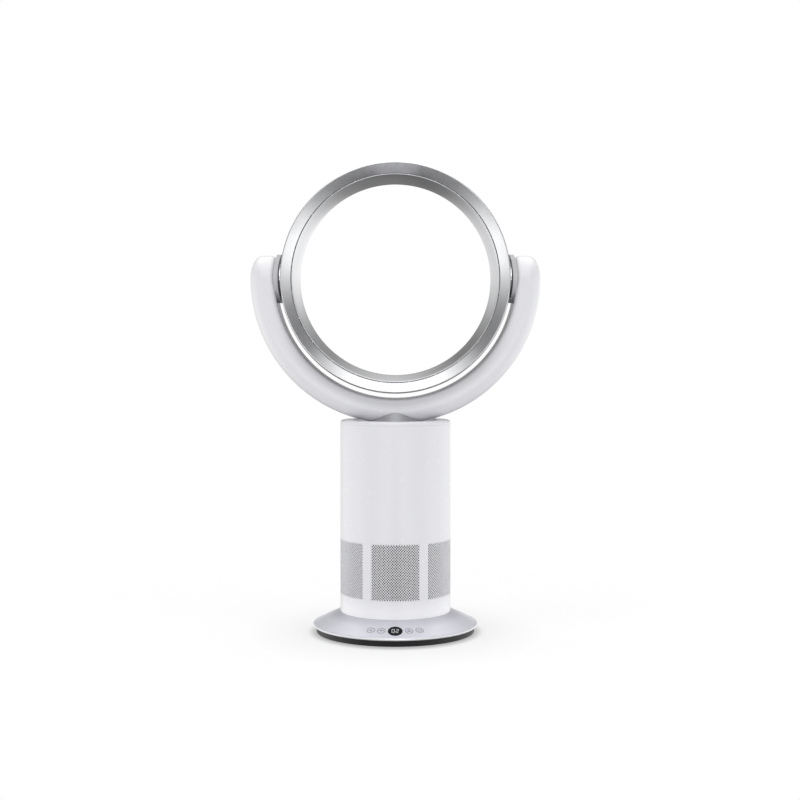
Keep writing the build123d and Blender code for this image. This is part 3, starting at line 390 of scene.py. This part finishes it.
for name, colour, roughness, stretch, grain, depth, variation in (
    ("steel", (0.60, 0.61, 0.62), 0.26, (1, 1, 6), 350.0, 0.015, 0.08),
    ("aluminium", (0.68, 0.69, 0.70), 0.40, (1, 1, 1), 260.0, 0.05, 0.08),
    ("iron", (0.16, 0.16, 0.165), 0.62, (1, 1, 1), 180.0, 0.15, 0.2),
    ("magnet", (0.11, 0.11, 0.12), 0.45, (1, 1, 1), 400.0, 0.04, 0.15),
):
    finishes[name] = metal(name, colour, roughness, stretch, grain, depth, variation).material

# nodes whose finish is their own version of their slot's
special = {
    "column_shell": "column_white",
    "yoke_front_shell": "white_yoke",
    "yoke_rear_shell": "white_yoke",
    "neck": "neck_grey",
    "friction_rings": "grey_rubber",
}
for name, node in nodes.items():
    node.data.materials.clear()
    node.data.materials.append(finishes[special.get(name, slots[name])])


# ---------------------------------------------------------------- mesh helpers
def make(name, points, faces, finish, body, sharp=35.0):
    """A smooth-shaded mesh piece from points in millimetres, riding on a body."""
    mesh = bpy.data.meshes.new(name)
    mesh.from_pydata([(x * MM, y * MM, z * MM) for x, y, z in points], [], faces)
    mesh.validate()
    work = bmesh.new()
    work.from_mesh(mesh)
    bmesh.ops.recalc_face_normals(work, faces=work.faces)
    work.to_mesh(mesh)
    work.free()
    mesh.shade_smooth()
    mesh.set_sharp_from_angle(angle=radians(sharp))
    mesh.materials.append(finish)
    piece = bpy.data.objects.new(name, mesh)
    bpy.context.scene.collection.objects.link(piece)
    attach(piece, body)
    return piece


def swung(centre, arm, angle):
    """The end of an arm that has swung round a centre by an angle."""
    return (
        centre.x + arm.x * cos(angle) - arm.y * sin(angle),
        centre.y + arm.x * sin(angle) + arm.y * cos(angle),
    )


def rounded(corners, steps=5):
    """A closed outline with its corners rounded: corners are (x, y) or (x, y, radius)."""
    count = len(corners)
    outline = []
    for index, corner in enumerate(corners):
        here = Vector(corner[:2])
        radius = corner[2] if len(corner) > 2 else 0.0
        if not radius:
            outline.append(tuple(here))
            continue
        back = (Vector(corners[index - 1][:2]) - here).normalized()
        ahead = (Vector(corners[(index + 1) % count][:2]) - here).normalized()
        half = back.angle(ahead) / 2
        reach = radius / tan(half)
        centre = here + (back + ahead).normalized() * (radius / sin(half))
        start, end = here + back * reach - centre, here + ahead * reach - centre
        turn = start.angle_signed(end)
        outline += [swung(centre, start, -turn * step / steps) for step in range(steps + 1)]
    return outline


def supported(outline, reach=0.3, shortest=5.0):
    """The outline with a point close to both ends of each long straight, so that flats shade flat."""
    held = []
    for here, ahead in zip(outline, outline[1:] + outline[:1]):
        held.append(tuple(here))
        run = Vector(ahead) - Vector(here)
        if run.length > shortest:
            step = run.normalized() * reach
            held.append(tuple(Vector(here) + step))
            held.append(tuple(Vector(ahead) - step))
    return held


def arc(start, middle, end, steps):
    """Points of the circle through three points, both ends included."""
    (ax, ay), (bx, by), (cx, cy) = start, middle, end
    a, b, c = ax * ax + ay * ay, bx * bx + by * by, cx * cx + cy * cy
    scale = 2 * (ax * (by - cy) + bx * (cy - ay) + cx * (ay - by))
    centre_x = (a * (by - cy) + b * (cy - ay) + c * (ay - by)) / scale
    centre_y = (a * (cx - bx) + b * (ax - cx) + c * (bx - ax)) / scale
    centre = Vector((centre_x, centre_y))
    first, last = Vector(start) - centre, Vector(end) - centre
    turn = -first.angle_signed(last)
    return [swung(centre, first, turn * i / steps) for i in range(steps + 1)]


def upright(radius, height, angle):
    """A point about the column's axis; angle 0 faces the front."""
    return radius * sin(angle), -radius * cos(angle), height


def about_ring(radius, depth, angle):
    """A point about the ring's own axis; angle 0 is the top."""
    return radius * sin(angle), depth, RING_HEIGHT + radius * cos(angle)


def turned(outline, count, spin):
    """Points and faces of a closed outline turned once round an axis."""
    points = [spin(r, h, 2 * pi * i / count) for i in range(count) for r, h in outline]
    size = len(outline)
    faces = []
    for i in range(count):
        here, there = i * size, (i + 1) % count * size
        for j in range(size):
            k = (j + 1) % size
            faces.append((here + j, here + k, there + k, there + j))
    return points, faces


def bar_faces(first, count, closed=False):
    """Faces of a bar of sections of four points each, with end faces unless it closes on itself."""
    faces = []
    for index in range(count if closed else count - 1):
        a, b = first + 4 * index, first + 4 * ((index + 1) % count)
        faces += [
            (a, b, b + 1, a + 1),
            (a + 2, a + 3, b + 3, b + 2),
            (a, a + 2, b + 2, b),
            (a + 1, b + 1, b + 3, a + 3),
        ]
    if not closed:
        last = first + 4 * (count - 1)
        faces += [(first, first + 1, first + 3, first + 2), (last, last + 2, last + 3, last + 1)]
    return faces


# ---------------------------------------------------------------- ring
RING_STEPS = 288
RING_RADIUS, BELLY, FRONT, REAR_CORNER = 180.0, 2.6, -42.0, 30.0
BELLY_MIDDLE = (FRONT + REAR_CORNER) / 2
BELLY_SPAN = (REAR_CORNER - FRONT) / 2
BELLY_ARC = (BELLY_SPAN**2 + BELLY**2) / (2 * BELLY)
WALL, FLUSH = 2.4, 0.02  # the casing's wall, and how far the flare's rim lies under its skin
RIM_SEAM, RIM_BACK = -33.0, -34.0
SPIGOT_GAP, SPIGOT_WALL, SPIGOT_LENGTH = 0.15, 1.8, 3.5  # the flare's spigot in the casing
MOUTH, FLANGE = 178.5, 175.5  # radii of the flare's front edge and of its flange's inner edge
SLOT_DEPTH, SLOT_RADIUS, SLOT_INNER = -22.0, 165.0, 164.3
NOZZLE_BACK = -11.0
THROAT, THROAT_WALL, MOUTH_SEAT, SEAT_GAP = 153.5, 2.2, 33.0, 0.08
SEAT_LENGTH = 6.0  # the sleeve's straight end, which sits in the casing's mouth
INNER_BULGE, OUTER_BULGE = 1.6, 0.8  # how far the sleeve's two faces curve inwards between their ends
LIP_WALL, LIP_ROUND = 1.2, 0.45
SPACERS, SPACER_FRONT, SPACER_BACK, SPACER_HALF_WIDE = 24, -21.4, -12.8, 0.9
SPACER_ROOT, SPACER_GAP = 0.6, 0.08  # how deep a spacer stands in the sleeve, and its gap to the flare
BOX_FACES = ((0, 1, 3, 2), (4, 5, 7, 6), (0, 1, 5, 4), (2, 3, 7, 6), (0, 2, 6, 4), (1, 3, 7, 5))


def skin(depth, inset=0.0):
    """Radius of the ring's outer skin at a depth."""
    return RING_RADIUS + BELLY - BELLY_ARC + sqrt((BELLY_ARC - inset) ** 2 - (depth - BELLY_MIDDLE) ** 2)


spigot = skin(RIM_SEAM, WALL) - SPIGOT_GAP
flare = [
    (skin(FRONT) - FLUSH, FRONT, 0.7),
    (skin(-40.0), -40.0),
    (skin(-37.0), -37.0),
    (skin(-34.0), -34.0),
    (skin(RIM_SEAM) - FLUSH, RIM_SEAM, 0.35),
    (spigot, RIM_SEAM),
    (spigot, RIM_SEAM + SPIGOT_LENGTH),
    (spigot - SPIGOT_WALL, RIM_SEAM + SPIGOT_LENGTH),
    (spigot - SPIGOT_WALL, RIM_BACK, 0.4),
    (FLANGE, RIM_BACK, 0.6),
    (SLOT_RADIUS + WALL, SLOT_DEPTH),
    (SLOT_RADIUS + WALL, NOZZLE_BACK, 0.5),
    (SLOT_RADIUS, NOZZLE_BACK, 0.5),
    (SLOT_RADIUS, SLOT_DEPTH, 1.0),
    (MOUTH, FRONT, 0.7),
]
points, faces = turned(supported(rounded(flare)), RING_STEPS, about_ring)
ring_front = make("ring_flare", points, faces, finishes["silver_ring"], "ring")
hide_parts("ring_front")

lip = SLOT_INNER - LIP_WALL
seat, outer_end, outer_depth = MOUTH_SEAT - SEAT_GAP, THROAT + THROAT_WALL, MOUTH_SEAT - SEAT_LENGTH
inner_middle = ((lip + THROAT) / 2 - INNER_BULGE, (SLOT_DEPTH + MOUTH_SEAT) / 2)
outer_middle = ((outer_end + SLOT_INNER) / 2 - OUTER_BULGE, (outer_depth + NOZZLE_BACK) / 2)
inner = arc((lip, SLOT_DEPTH), inner_middle, (THROAT, seat), 24)
outer = arc((outer_end, outer_depth), outer_middle, (SLOT_INNER, NOZZLE_BACK), 16)
edges = [(SLOT_INNER, SLOT_DEPTH, LIP_ROUND), (lip, SLOT_DEPTH, LIP_ROUND)]
lip_outline = rounded([outer[-1], *edges, inner[2]])[1:-1]
sleeve = lip_outline + inner[2:] + [(outer_end, seat)] + outer
points, faces = turned(supported(sleeve), RING_STEPS, about_ring)
for index in range(SPACERS):
    angle = 2 * pi * (index + 0.5) / SPACERS
    base = len(points)
    for depth in (SPACER_FRONT, SPACER_BACK):
        for radius in (SLOT_INNER - SPACER_ROOT, SLOT_RADIUS - SPACER_GAP):
            for side in (-SPACER_HALF_WIDE, SPACER_HALF_WIDE):
                points.append(about_ring(radius, depth, angle + side / radius))
    faces += [tuple(base + corner for corner in quad) for quad in BOX_FACES]
ring_throat = make("ring_sleeve", points, faces, finishes["silver_ring"], "ring")
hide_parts("ring_throat")


# ---------------------------------------------------------------- intake panels
PANELS = 6
COLUMN_RADIUS, HALF_ANGLE = 88.0, 25.4  # half the angle of an opening, in degrees
HALF_OPENING = COLUMN_RADIUS * sin(radians(HALF_ANGLE))
INTAKE_BOTTOM, INTAKE_TOP = 62.0, 150.5
SHEET_OUTER, SHEET_INNER = 87.85, 86.25
# the gauze's dark colour is the painted shade inside the column, not a colour of its own
GAUZE_OUTER, GAUZE_INNER, GAUZE_STEPS = 86.2, 86.05, 24  # black dust gauze bonded to each sheet's back
SHEET_GAP, SHEET_BORDER = 0.15, 0.05  # the gap round a sheet, and the plain border round its lattice
HALF_COLUMNS, HALF_ROWS = 38, 41  # half steps of the lattice
OPEN_SHARE = 0.71  # the hole's share of its cell
NEAR = 0.01  # closer than this counts as on the lattice's edge


def sheet_panel():
    """The curved perforated sheet in the front opening, with its gauze: diamond holes on a centred lattice."""
    half_wide = SHEET_OUTER * asin((HALF_OPENING - SHEET_GAP) / SHEET_OUTER)
    low, high = INTAKE_BOTTOM + SHEET_GAP, INTAKE_TOP - SHEET_GAP
    half_cell = (2 * half_wide - 2 * SHEET_BORDER) / HALF_COLUMNS
    half_row = (high - low - 2 * SHEET_BORDER) / HALF_ROWS
    left, bottom = SHEET_BORDER - half_wide, low + SHEET_BORDER
    top = bottom + HALF_ROWS * half_row
    points, faces, seen = [], [], {}

    def spot(across, height, radius):
        """The number of a point, shared where it is there already."""
        key = (round(across, 3), round(height, 3), radius)
        if key not in seen:
            seen[key] = len(points)
            points.append(upright(radius, height, across / SHEET_OUTER))
        return seen[key]

    def wall(loop, flip=False):
        """Joins a loop on the outer face to the same loop on the inner face."""
        for (x1, z1), (x2, z2) in zip(loop, loop[1:] + loop[:1]):
            quad = (
                spot(x1, z1, SHEET_OUTER),
                spot(x2, z2, SHEET_OUTER),
                spot(x2, z2, SHEET_INNER),
                spot(x1, z1, SHEET_INNER),
            )
            faces.append(quad[::-1] if flip else quad)

    def both(loop):
        """Adds a face to the outer and the inner side."""
        for radius in (SHEET_OUTER, SHEET_INNER):
            faces.append(tuple(spot(x, z, radius) for x, z in loop))

    def cell(x, z, whole):
        """One diamond with its hole, or the plain part of one that the border cuts."""
        corners = [(x, z - half_row), (x + half_cell, z), (x, z + half_row), (x - half_cell, z)]
        if whole:
            hole = [(x + (cx - x) * OPEN_SHARE, z + (cz - z) * OPEN_SHARE) for cx, cz in corners]
            for k in range(4):
                m = (k + 1) % 4
                both([corners[k], corners[m], hole[m], hole[k]])
            wall(hole, flip=True)
            return
        inside = [c for c in corners if abs(c[0]) <= NEAR - left and bottom - NEAR <= c[1] <= top + NEAR]
        kept = [(x, z)] + inside
        middle_x, middle_z = sum(c[0] for c in kept) / len(kept), sum(c[1] for c in kept) / len(kept)
        facing = Vector((1.0, 0.0))
        both(sorted(kept, key=lambda c: -facing.angle_signed(Vector((c[0] - middle_x, c[1] - middle_z)))))

    for i in range(HALF_COLUMNS + 1):
        for j in range(i % 2, HALF_ROWS + 1, 2):
            cell(left + i * half_cell, bottom + j * half_row, 0 < i < HALF_COLUMNS and 0 < j < HALF_ROWS)
    edge_x = [left + i * half_cell for i in range(HALF_COLUMNS + 1)]
    edge_z = [bottom + j * half_row for j in range(HALF_ROWS + 1)]
    for a, b in zip(edge_x, edge_x[1:]):
        both([(a, low), (b, low), (b, bottom), (a, bottom)])
        both([(a, top), (b, top), (b, high), (a, high)])
    for a, b in zip(edge_z, edge_z[1:]):
        both([(-half_wide, a), (left, a), (left, b), (-half_wide, b)])
        both([(-left, a), (half_wide, a), (half_wide, b), (-left, b)])
    for x1, x2 in ((-half_wide, left), (-left, half_wide)):
        for z1, z2 in ((low, bottom), (top, high)):
            both([(x1, z1), (x2, z1), (x2, z2), (x1, z2)])
    rim_x = [-half_wide] + edge_x + [half_wide]
    rim_z = [low] + edge_z + [high]
    rim = [(x, low) for x in rim_x] + [(half_wide, z) for z in rim_z[1:]]
    rim += [(x, high) for x in rim_x[::-1][1:]] + [(-half_wide, z) for z in rim_z[::-1][1:-1]]
    wall(rim)

    faces += bar_faces(len(points), GAUZE_STEPS + 1)
    for i in range(GAUZE_STEPS + 1):
        angle = (-half_wide + 2 * half_wide * i / GAUZE_STEPS) / SHEET_OUTER
        for radius in (GAUZE_OUTER, GAUZE_INNER):
            points += [upright(radius, height, angle) for height in (low, high)]
    return points, faces


panel_points, panel_faces = sheet_panel()
for index in range(PANELS):
    turn = Matrix.Rotation(2 * pi * index / PANELS, 3, "Z")
    placed = [tuple(turn @ Vector(point)) for point in panel_points]
    name = f"grille_sheet_{index + 1}"
    panel = make(name, placed, panel_faces, finishes["grille_grey"], "base", sharp=20)
    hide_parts(f"intake_grille_{index + 1}")


# ---------------------------------------------------------------- rim of the bottom pan
PAN_STEPS = 192
pan_rim = [
    (115.7, 1.9),
    (116.8, 0.3, 0.4),
    (125.8, 0.3, 0.9),
    (127.0, 10.1),
    (126.2, 10.1),
    (119.0, 3.6),
    (116.5, 2.2),
]
points, faces = turned(supported(rounded(pan_rim)), PAN_STEPS, upright)
make("pan_rim", points, faces, finishes["black_pan"], "base")


# ---------------------------------------------------------------- keys and display
SHOULDER_RADIUS, SHOULDER_HEIGHT, SOCKET, COVER_TOP = 128.2, 15.4, 88.15, 34.0
CROWN = 0.9  # how far the cover's slope bulges over its chord
SLOPE = (COVER_TOP - SHOULDER_HEIGHT) / (SHOULDER_RADIUS - SOCKET)
SLOPE_ANGLE = atan(SLOPE)
PANEL_CIRCLE = 115.0  # radius of the circle that the keys and the display lie on
PRINT_WIDTH, PRINT_LEVELS = 0.75, (-0.02, 0.03)
KEYS = (("fan", -18.9), ("swivel", -10.6), ("tilt", 10.6), ("power", 18.9))  # with their angles from the front
DIGITS = (("0", -3.1), ("2", 3.1))  # with their centres' places across the window
SEGMENTS = {"0": "abcdef", "2": "abged"}
DIGIT_WIDE, DIGIT_HIGH, STROKE, STROKE_INSET = 3.7, 8.4, 0.8, 0.55
LIGHT_LEVELS = (-0.01, 0.03)


def cover_skin(radius):
    """Height of the cover's crowned slope at a radius."""
    share = (SHOULDER_RADIUS - radius) / (SHOULDER_RADIUS - SOCKET)
    return SHOULDER_HEIGHT + share * (COVER_TOP - SHOULDER_HEIGHT) + CROWN * 4 * share * (1 - share)


def on_cover(across, along, lift):
    """A point on the cover's slope: across it from the front, up it, and lifted off it."""
    radius = PANEL_CIRCLE - along * cos(SLOPE_ANGLE)
    angle = across / PANEL_CIRCLE
    x, y, z = upright(radius, cover_skin(radius), angle)
    normal = upright(sin(SLOPE_ANGLE), cos(SLOPE_ANGLE), angle)
    return x + normal[0] * lift, y + normal[1] * lift, z + normal[2] * lift


def on_window(across, along, lift):
    """A point on the flat window: across it, up it, and lifted off it."""
    height = SHOULDER_HEIGHT + SLOPE * (SHOULDER_RADIUS - PANEL_CIRCLE) + CROWN
    return (
        across,
        -PANEL_CIRCLE + along * cos(SLOPE_ANGLE) - lift * sin(SLOPE_ANGLE),
        height + along * sin(SLOPE_ANGLE) + lift * cos(SLOPE_ANGLE),
    )


def printed_line(path, closed, middle):
    """Points of a thin printed line along a path of (across, along) places about a key's middle."""
    points = []
    count = len(path)
    for index, here in enumerate(path):
        before = Vector(path[index - 1] if index or closed else here)
        after = Vector(path[(index + 1) % count] if index < count - 1 or closed else here)
        along = (after - before).normalized()
        side = Vector((-along.y, along.x)) * PRINT_WIDTH / 2
        for level in PRINT_LEVELS:
            points.append(on_cover(middle + here[0] + side.x, here[1] + side.y, level))
            points.append(on_cover(middle + here[0] - side.x, here[1] - side.y, level))
    return points


def circle(cx, cy, radius, start, end, steps):
    """Points from one angle to another, in degrees, on a circle about a centre."""
    angles = [radians(start + (end - start) * i / steps) for i in range(steps + 1)]
    return [(cx + radius * cos(angle), cy + radius * sin(angle)) for angle in angles]


def key_strokes(kind):
    """The printed lines of one key, as (path, closed)."""
    strokes = [(circle(0, 0, 5.9, 0, 360, 48)[:-1], True)]
    if kind == "fan":
        for turn in (0, 120, 240):
            swirl = []
            for i in range(13):
                reach, angle = 0.5 + 2.9 * i / 12, radians(turn + 95 * i / 12)
                swirl.append((reach * cos(angle), reach * sin(angle)))
            strokes.append((swirl, False))
    elif kind == "swivel":
        strokes.append((circle(0, -0.8, 3.0, 20, 160, 18), False))
        strokes.append(([(-3.6, 1.4), (-2.8, 0.1), (-1.5, 0.9)], False))
        strokes.append(([(3.6, 1.4), (2.8, 0.1), (1.5, 0.9)], False))
        strokes.append(([(0, -2.4), (0, -0.4)], False))
    elif kind == "tilt":
        for rise in (-2.0, 0.0, 2.0):
            strokes.append(([(-2.6, rise - 1.0), (0, rise + 0.8), (2.6, rise - 1.0)], False))
    else:
        strokes.append((circle(0, 0, 2.9, 125, 415, 30), False))
        strokes.append(([(0, 0.6), (0, 3.6)], False))
    return strokes


def digit_strokes(digit, centre):
    """The lit strokes of one digit on the window, each from its start to its end."""
    x, y = DIGIT_WIDE / 2, DIGIT_HIGH / 2
    ends = {
        "a": ((-x, y), (x, y)),
        "b": ((x, y), (x, 0)),
        "c": ((x, 0), (x, -y)),
        "d": ((-x, -y), (x, -y)),
        "e": ((-x, 0), (-x, -y)),
        "f": ((-x, y), (-x, 0)),
        "g": ((-x, 0), (x, 0)),
    }
    for key in SEGMENTS[digit]:
        start, end = (Vector(point) for point in ends[key])
        inset = (end - start).normalized() * STROKE_INSET
        start, end = start + inset, end - inset
        yield start.x + centre, start.y, end.x + centre, end.y


for kind, angle in KEYS:
    points, faces = [], []
    for path, closed in key_strokes(kind):
        faces += bar_faces(len(points), len(path), closed)
        points += printed_line(path, closed, radians(angle) * PANEL_CIRCLE)
    make(f"key_print_{kind}", points, faces, finishes["printed_grey"], "base")

points, faces = [], []
for digit, centre in DIGITS:
    for x1, y1, x2, y2 in digit_strokes(digit, centre):
        along = (Vector((x2, y2)) - Vector((x1, y1))).normalized()
        side = Vector((-along.y, along.x)) * STROKE / 2
        tip = along * STROKE / 2
        loop = [
            (x1 - tip.x, y1 - tip.y),
            (x1 + side.x, y1 + side.y),
            (x2 + side.x, y2 + side.y),
            (x2 + tip.x, y2 + tip.y),
            (x2 - side.x, y2 - side.y),
            (x1 - side.x, y1 - side.y),
        ]
        base, size = len(points), len(loop)
        for lift in LIGHT_LEVELS:
            points += [on_window(px, py, lift) for px, py in loop]
        faces.append(tuple(base + i for i in range(size)))
        faces.append(tuple(base + size + i for i in range(size)))
        for i in range(size):
            k = (i + 1) % size
            faces.append((base + i, base + k, base + size + k, base + size + i))
make("display_digits", points, faces, finishes["lit_segments"], "base")


# ---------------------------------------------------------------- floor, light and camera
FLOOR_SPOKES, FLOOR_RINGS, FLOOR_STEP = 96, 10, 0.1
DEGREES = 180 / pi
SKY_TOP = 1.5  # a ramp's colours end at 1, so the sky's levels are kept as shares of this


def floor():
    """A pale disc that is near white to the camera, with a contact shade, and fades out to the sky."""
    g = Graph("studio_floor")
    reach = g.length(g.stretched(1.08, 1.0, 1.0))
    contact = g.ramp(reach, [(0.135, (0.60, 0.60, 0.60)), (0.152, (0.94, 0.94, 0.945)), (0.26, PURE_WHITE)])
    pale_floor = g.mix(g.noise(3.0, 2.0), (0.93, 0.93, 0.93), (0.95, 0.95, 0.95))
    g.set(Base_Color=g.mix(1.0, pale_floor, contact, "MULTIPLY"), Roughness=0.9)
    glow = g.add("ShaderNodeEmission")
    g.link(contact, glow.inputs["Color"])
    seen = g.maths("MULTIPLY", g.add("ShaderNodeLightPath").outputs["Is Camera Ray"], 0.6)
    pale = g.blend(seen, g.shader.outputs[0], glow.outputs[0])
    clear = g.add("ShaderNodeBsdfTransparent").outputs[0]
    g.link(g.blend(g.spread(reach, 0.0, 1.0, 0.35, 0.9), pale, clear), g.out.inputs["Surface"])
    points = [(0.0, 0.0, 0.0)]
    for ring in range(1, FLOOR_RINGS + 1):
        for i in range(FLOOR_SPOKES):
            angle = 2 * pi * i / FLOOR_SPOKES
            points.append((ring * FLOOR_STEP * cos(angle), ring * FLOOR_STEP * sin(angle), 0.0))
    faces = [(0, 1 + i, 1 + (i + 1) % FLOOR_SPOKES) for i in range(FLOOR_SPOKES)]
    for ring in range(1, FLOOR_RINGS):
        a, b = 1 + (ring - 1) * FLOOR_SPOKES, 1 + ring * FLOOR_SPOKES
        for i in range(FLOOR_SPOKES):
            k = (i + 1) % FLOOR_SPOKES
            faces.append((a + i, b + i, b + k, a + k))
    mesh = bpy.data.meshes.new("studio_floor")
    mesh.from_pydata(points, [], faces)
    mesh.materials.append(g.material)
    disc = bpy.data.objects.new("studio_floor", mesh)
    bpy.context.scene.collection.objects.link(disc)
    disc.visible_glossy = False


def sky():
    """White for the camera, a banded studio for reflections and an even fill for the rest."""
    world = bpy.data.worlds.new("studio")
    bpy.context.scene.world = world
    world.use_nodes = True
    world.cycles.sampling_method = "NONE"
    s = Nodes(world.node_tree)

    def levels(angle, table):
        """A grey ramp through (degrees, level) pairs, from -90 to 90 degrees."""
        place = s.maths("DIVIDE", s.maths("SUBTRACT", angle, -90), 180)
        return s.ramp(place, [((degrees + 90) / 180, (level / SKY_TOP,) * 3) for degrees, level in table])

    def background(colour, strength):
        node = s.add("ShaderNodeBackground")
        s.feed(node.inputs["Color"], colour)
        s.feed(node.inputs["Strength"], strength)
        return node.outputs[0]

    east, north, up = s.split(s.add("ShaderNodeTexCoord").outputs["Generated"])
    east_squared = s.maths("MULTIPLY", east, east)

    # the reflected studio: bands by the direction's slant across the view, one set beside and one behind
    across = s.maths("SQRT", s.maths("ADD", east_squared, 0.008))
    slant = s.maths("MULTIPLY", s.maths("ARCTAN2", up, across), DEGREES)
    beside = levels(
        slant,
        (
            (-90, 0.04), (-66, 0.22), (-54, 0.30), (-42, 0.62), (-30, 1.18), (-18, 1.45), (-6, 1.36),
            (6, 0.80), (18, 0.37), (30, 0.28), (42, 0.34), (54, 0.88), (66, 1.48), (90, 1.50),
        ),
    )
    behind = levels(
        slant,
        (
            (-90, 0.21), (-66, 0.23), (-54, 0.31), (-42, 0.56), (-30, 0.88), (-18, 1.04), (6, 1.08),
            (18, 0.87), (30, 0.53), (42, 0.34), (54, 0.31), (66, 0.50), (78, 0.66), (90, 0.70),
        ),
    )
    west = s.maths("MULTIPLY", s.maths("MULTIPLY", east, -6.0, clamp=True), 0.23)
    behind = s.maths("MULTIPLY", behind, s.maths("SUBTRACT", 1.0, west))
    back = s.maths("DIVIDE", s.maths("SUBTRACT", north, 0.55), 0.3, clamp=True)
    beside = s.maths("MULTIPLY", beside, s.maths("SUBTRACT", 1.0, back))
    bands = s.maths("ADD", beside, s.maths("MULTIPLY", behind, back))

    # upright strips in front, which show in the column
    heading = s.maths("ARCTAN2", east, s.maths("MULTIPLY", north, -1.0))
    strips = s.maths("MULTIPLY", s.maths("COSINE", s.maths("MULTIPLY", heading, 3.46)), 0.35)
    ahead = s.maths("MULTIPLY", north, -3.0, clamp=True)
    lift = s.maths("ADD", 1.0, s.maths("MULTIPLY", strips, ahead))

    # the fill, slightly stronger from the sides and from above
    height = s.maths("MULTIPLY", s.maths("ARCSINE", up), DEGREES)
    fill = levels(height, ((-90, 0.88), (-5, 0.86), (20, 0.86), (45, 0.92), (70, 1.0), (90, 1.05)))
    flank = s.maths("ADD", 0.9, s.maths("MULTIPLY", east_squared, 0.3))

    reflected = background(bands, s.maths("MULTIPLY", lift, SKY_TOP))
    filled = background(fill, s.maths("MULTIPLY", flank, SKY_TOP))
    path = s.add("ShaderNodeLightPath").outputs
    unseen = s.blend(path["Is Glossy Ray"], filled, reflected)
    seen = s.blend(path["Is Camera Ray"], unseen, background(PURE_WHITE, 1.0))
    s.link(seen, s.add("ShaderNodeOutputWorld").inputs["Surface"])


def lamp(name, place, target, size, power):
    light = bpy.data.lights.new(name, "AREA")
    light.shape = "RECTANGLE"
    light.size, light.size_y = size
    light.energy = power
    lamp_object = bpy.data.objects.new(name, light)
    lamp_object.location = place
    lamp_object.rotation_euler = (Vector(target) - Vector(place)).to_track_quat("-Z", "Y").to_euler()
    lamp_object.visible_glossy = False
    bpy.context.scene.collection.objects.link(lamp_object)


floor()
sky()
lamp("key_left", (-2.3, -1.5, 1.1), (0, 0, 0.4), (1.4, 1.8), 8.0)
lamp("key_right", (2.3, -1.5, 1.1), (0, 0, 0.4), (1.4, 1.8), 7.0)
lamp("top", (0, -0.2, 2.6), (0, 0, 0), (2.4, 2.4), 13.0)

FRAME_WIDTH, FOCAL_LENGTH = 800.0, 1370.1  # in the photograph's pixels
SENSOR_WIDTH = 36.0
LOOK_DOWN = 1.89  # degrees

lens = bpy.data.cameras.new("camera")
lens.sensor_width = SENSOR_WIDTH
lens.lens = FOCAL_LENGTH * SENSOR_WIDTH / FRAME_WIDTH
lens.clip_start = 0.05
camera = bpy.data.objects.new("camera", lens)
camera.location = (0.0073, -2.186, 0.4423)
camera.rotation_euler = (radians(90 - LOOK_DOWN), 0.0, 0.0)
bpy.context.scene.collection.objects.link(camera)
bpy.context.scene.camera = camera
bpy.context.scene.view_settings.view_transform = "Standard"
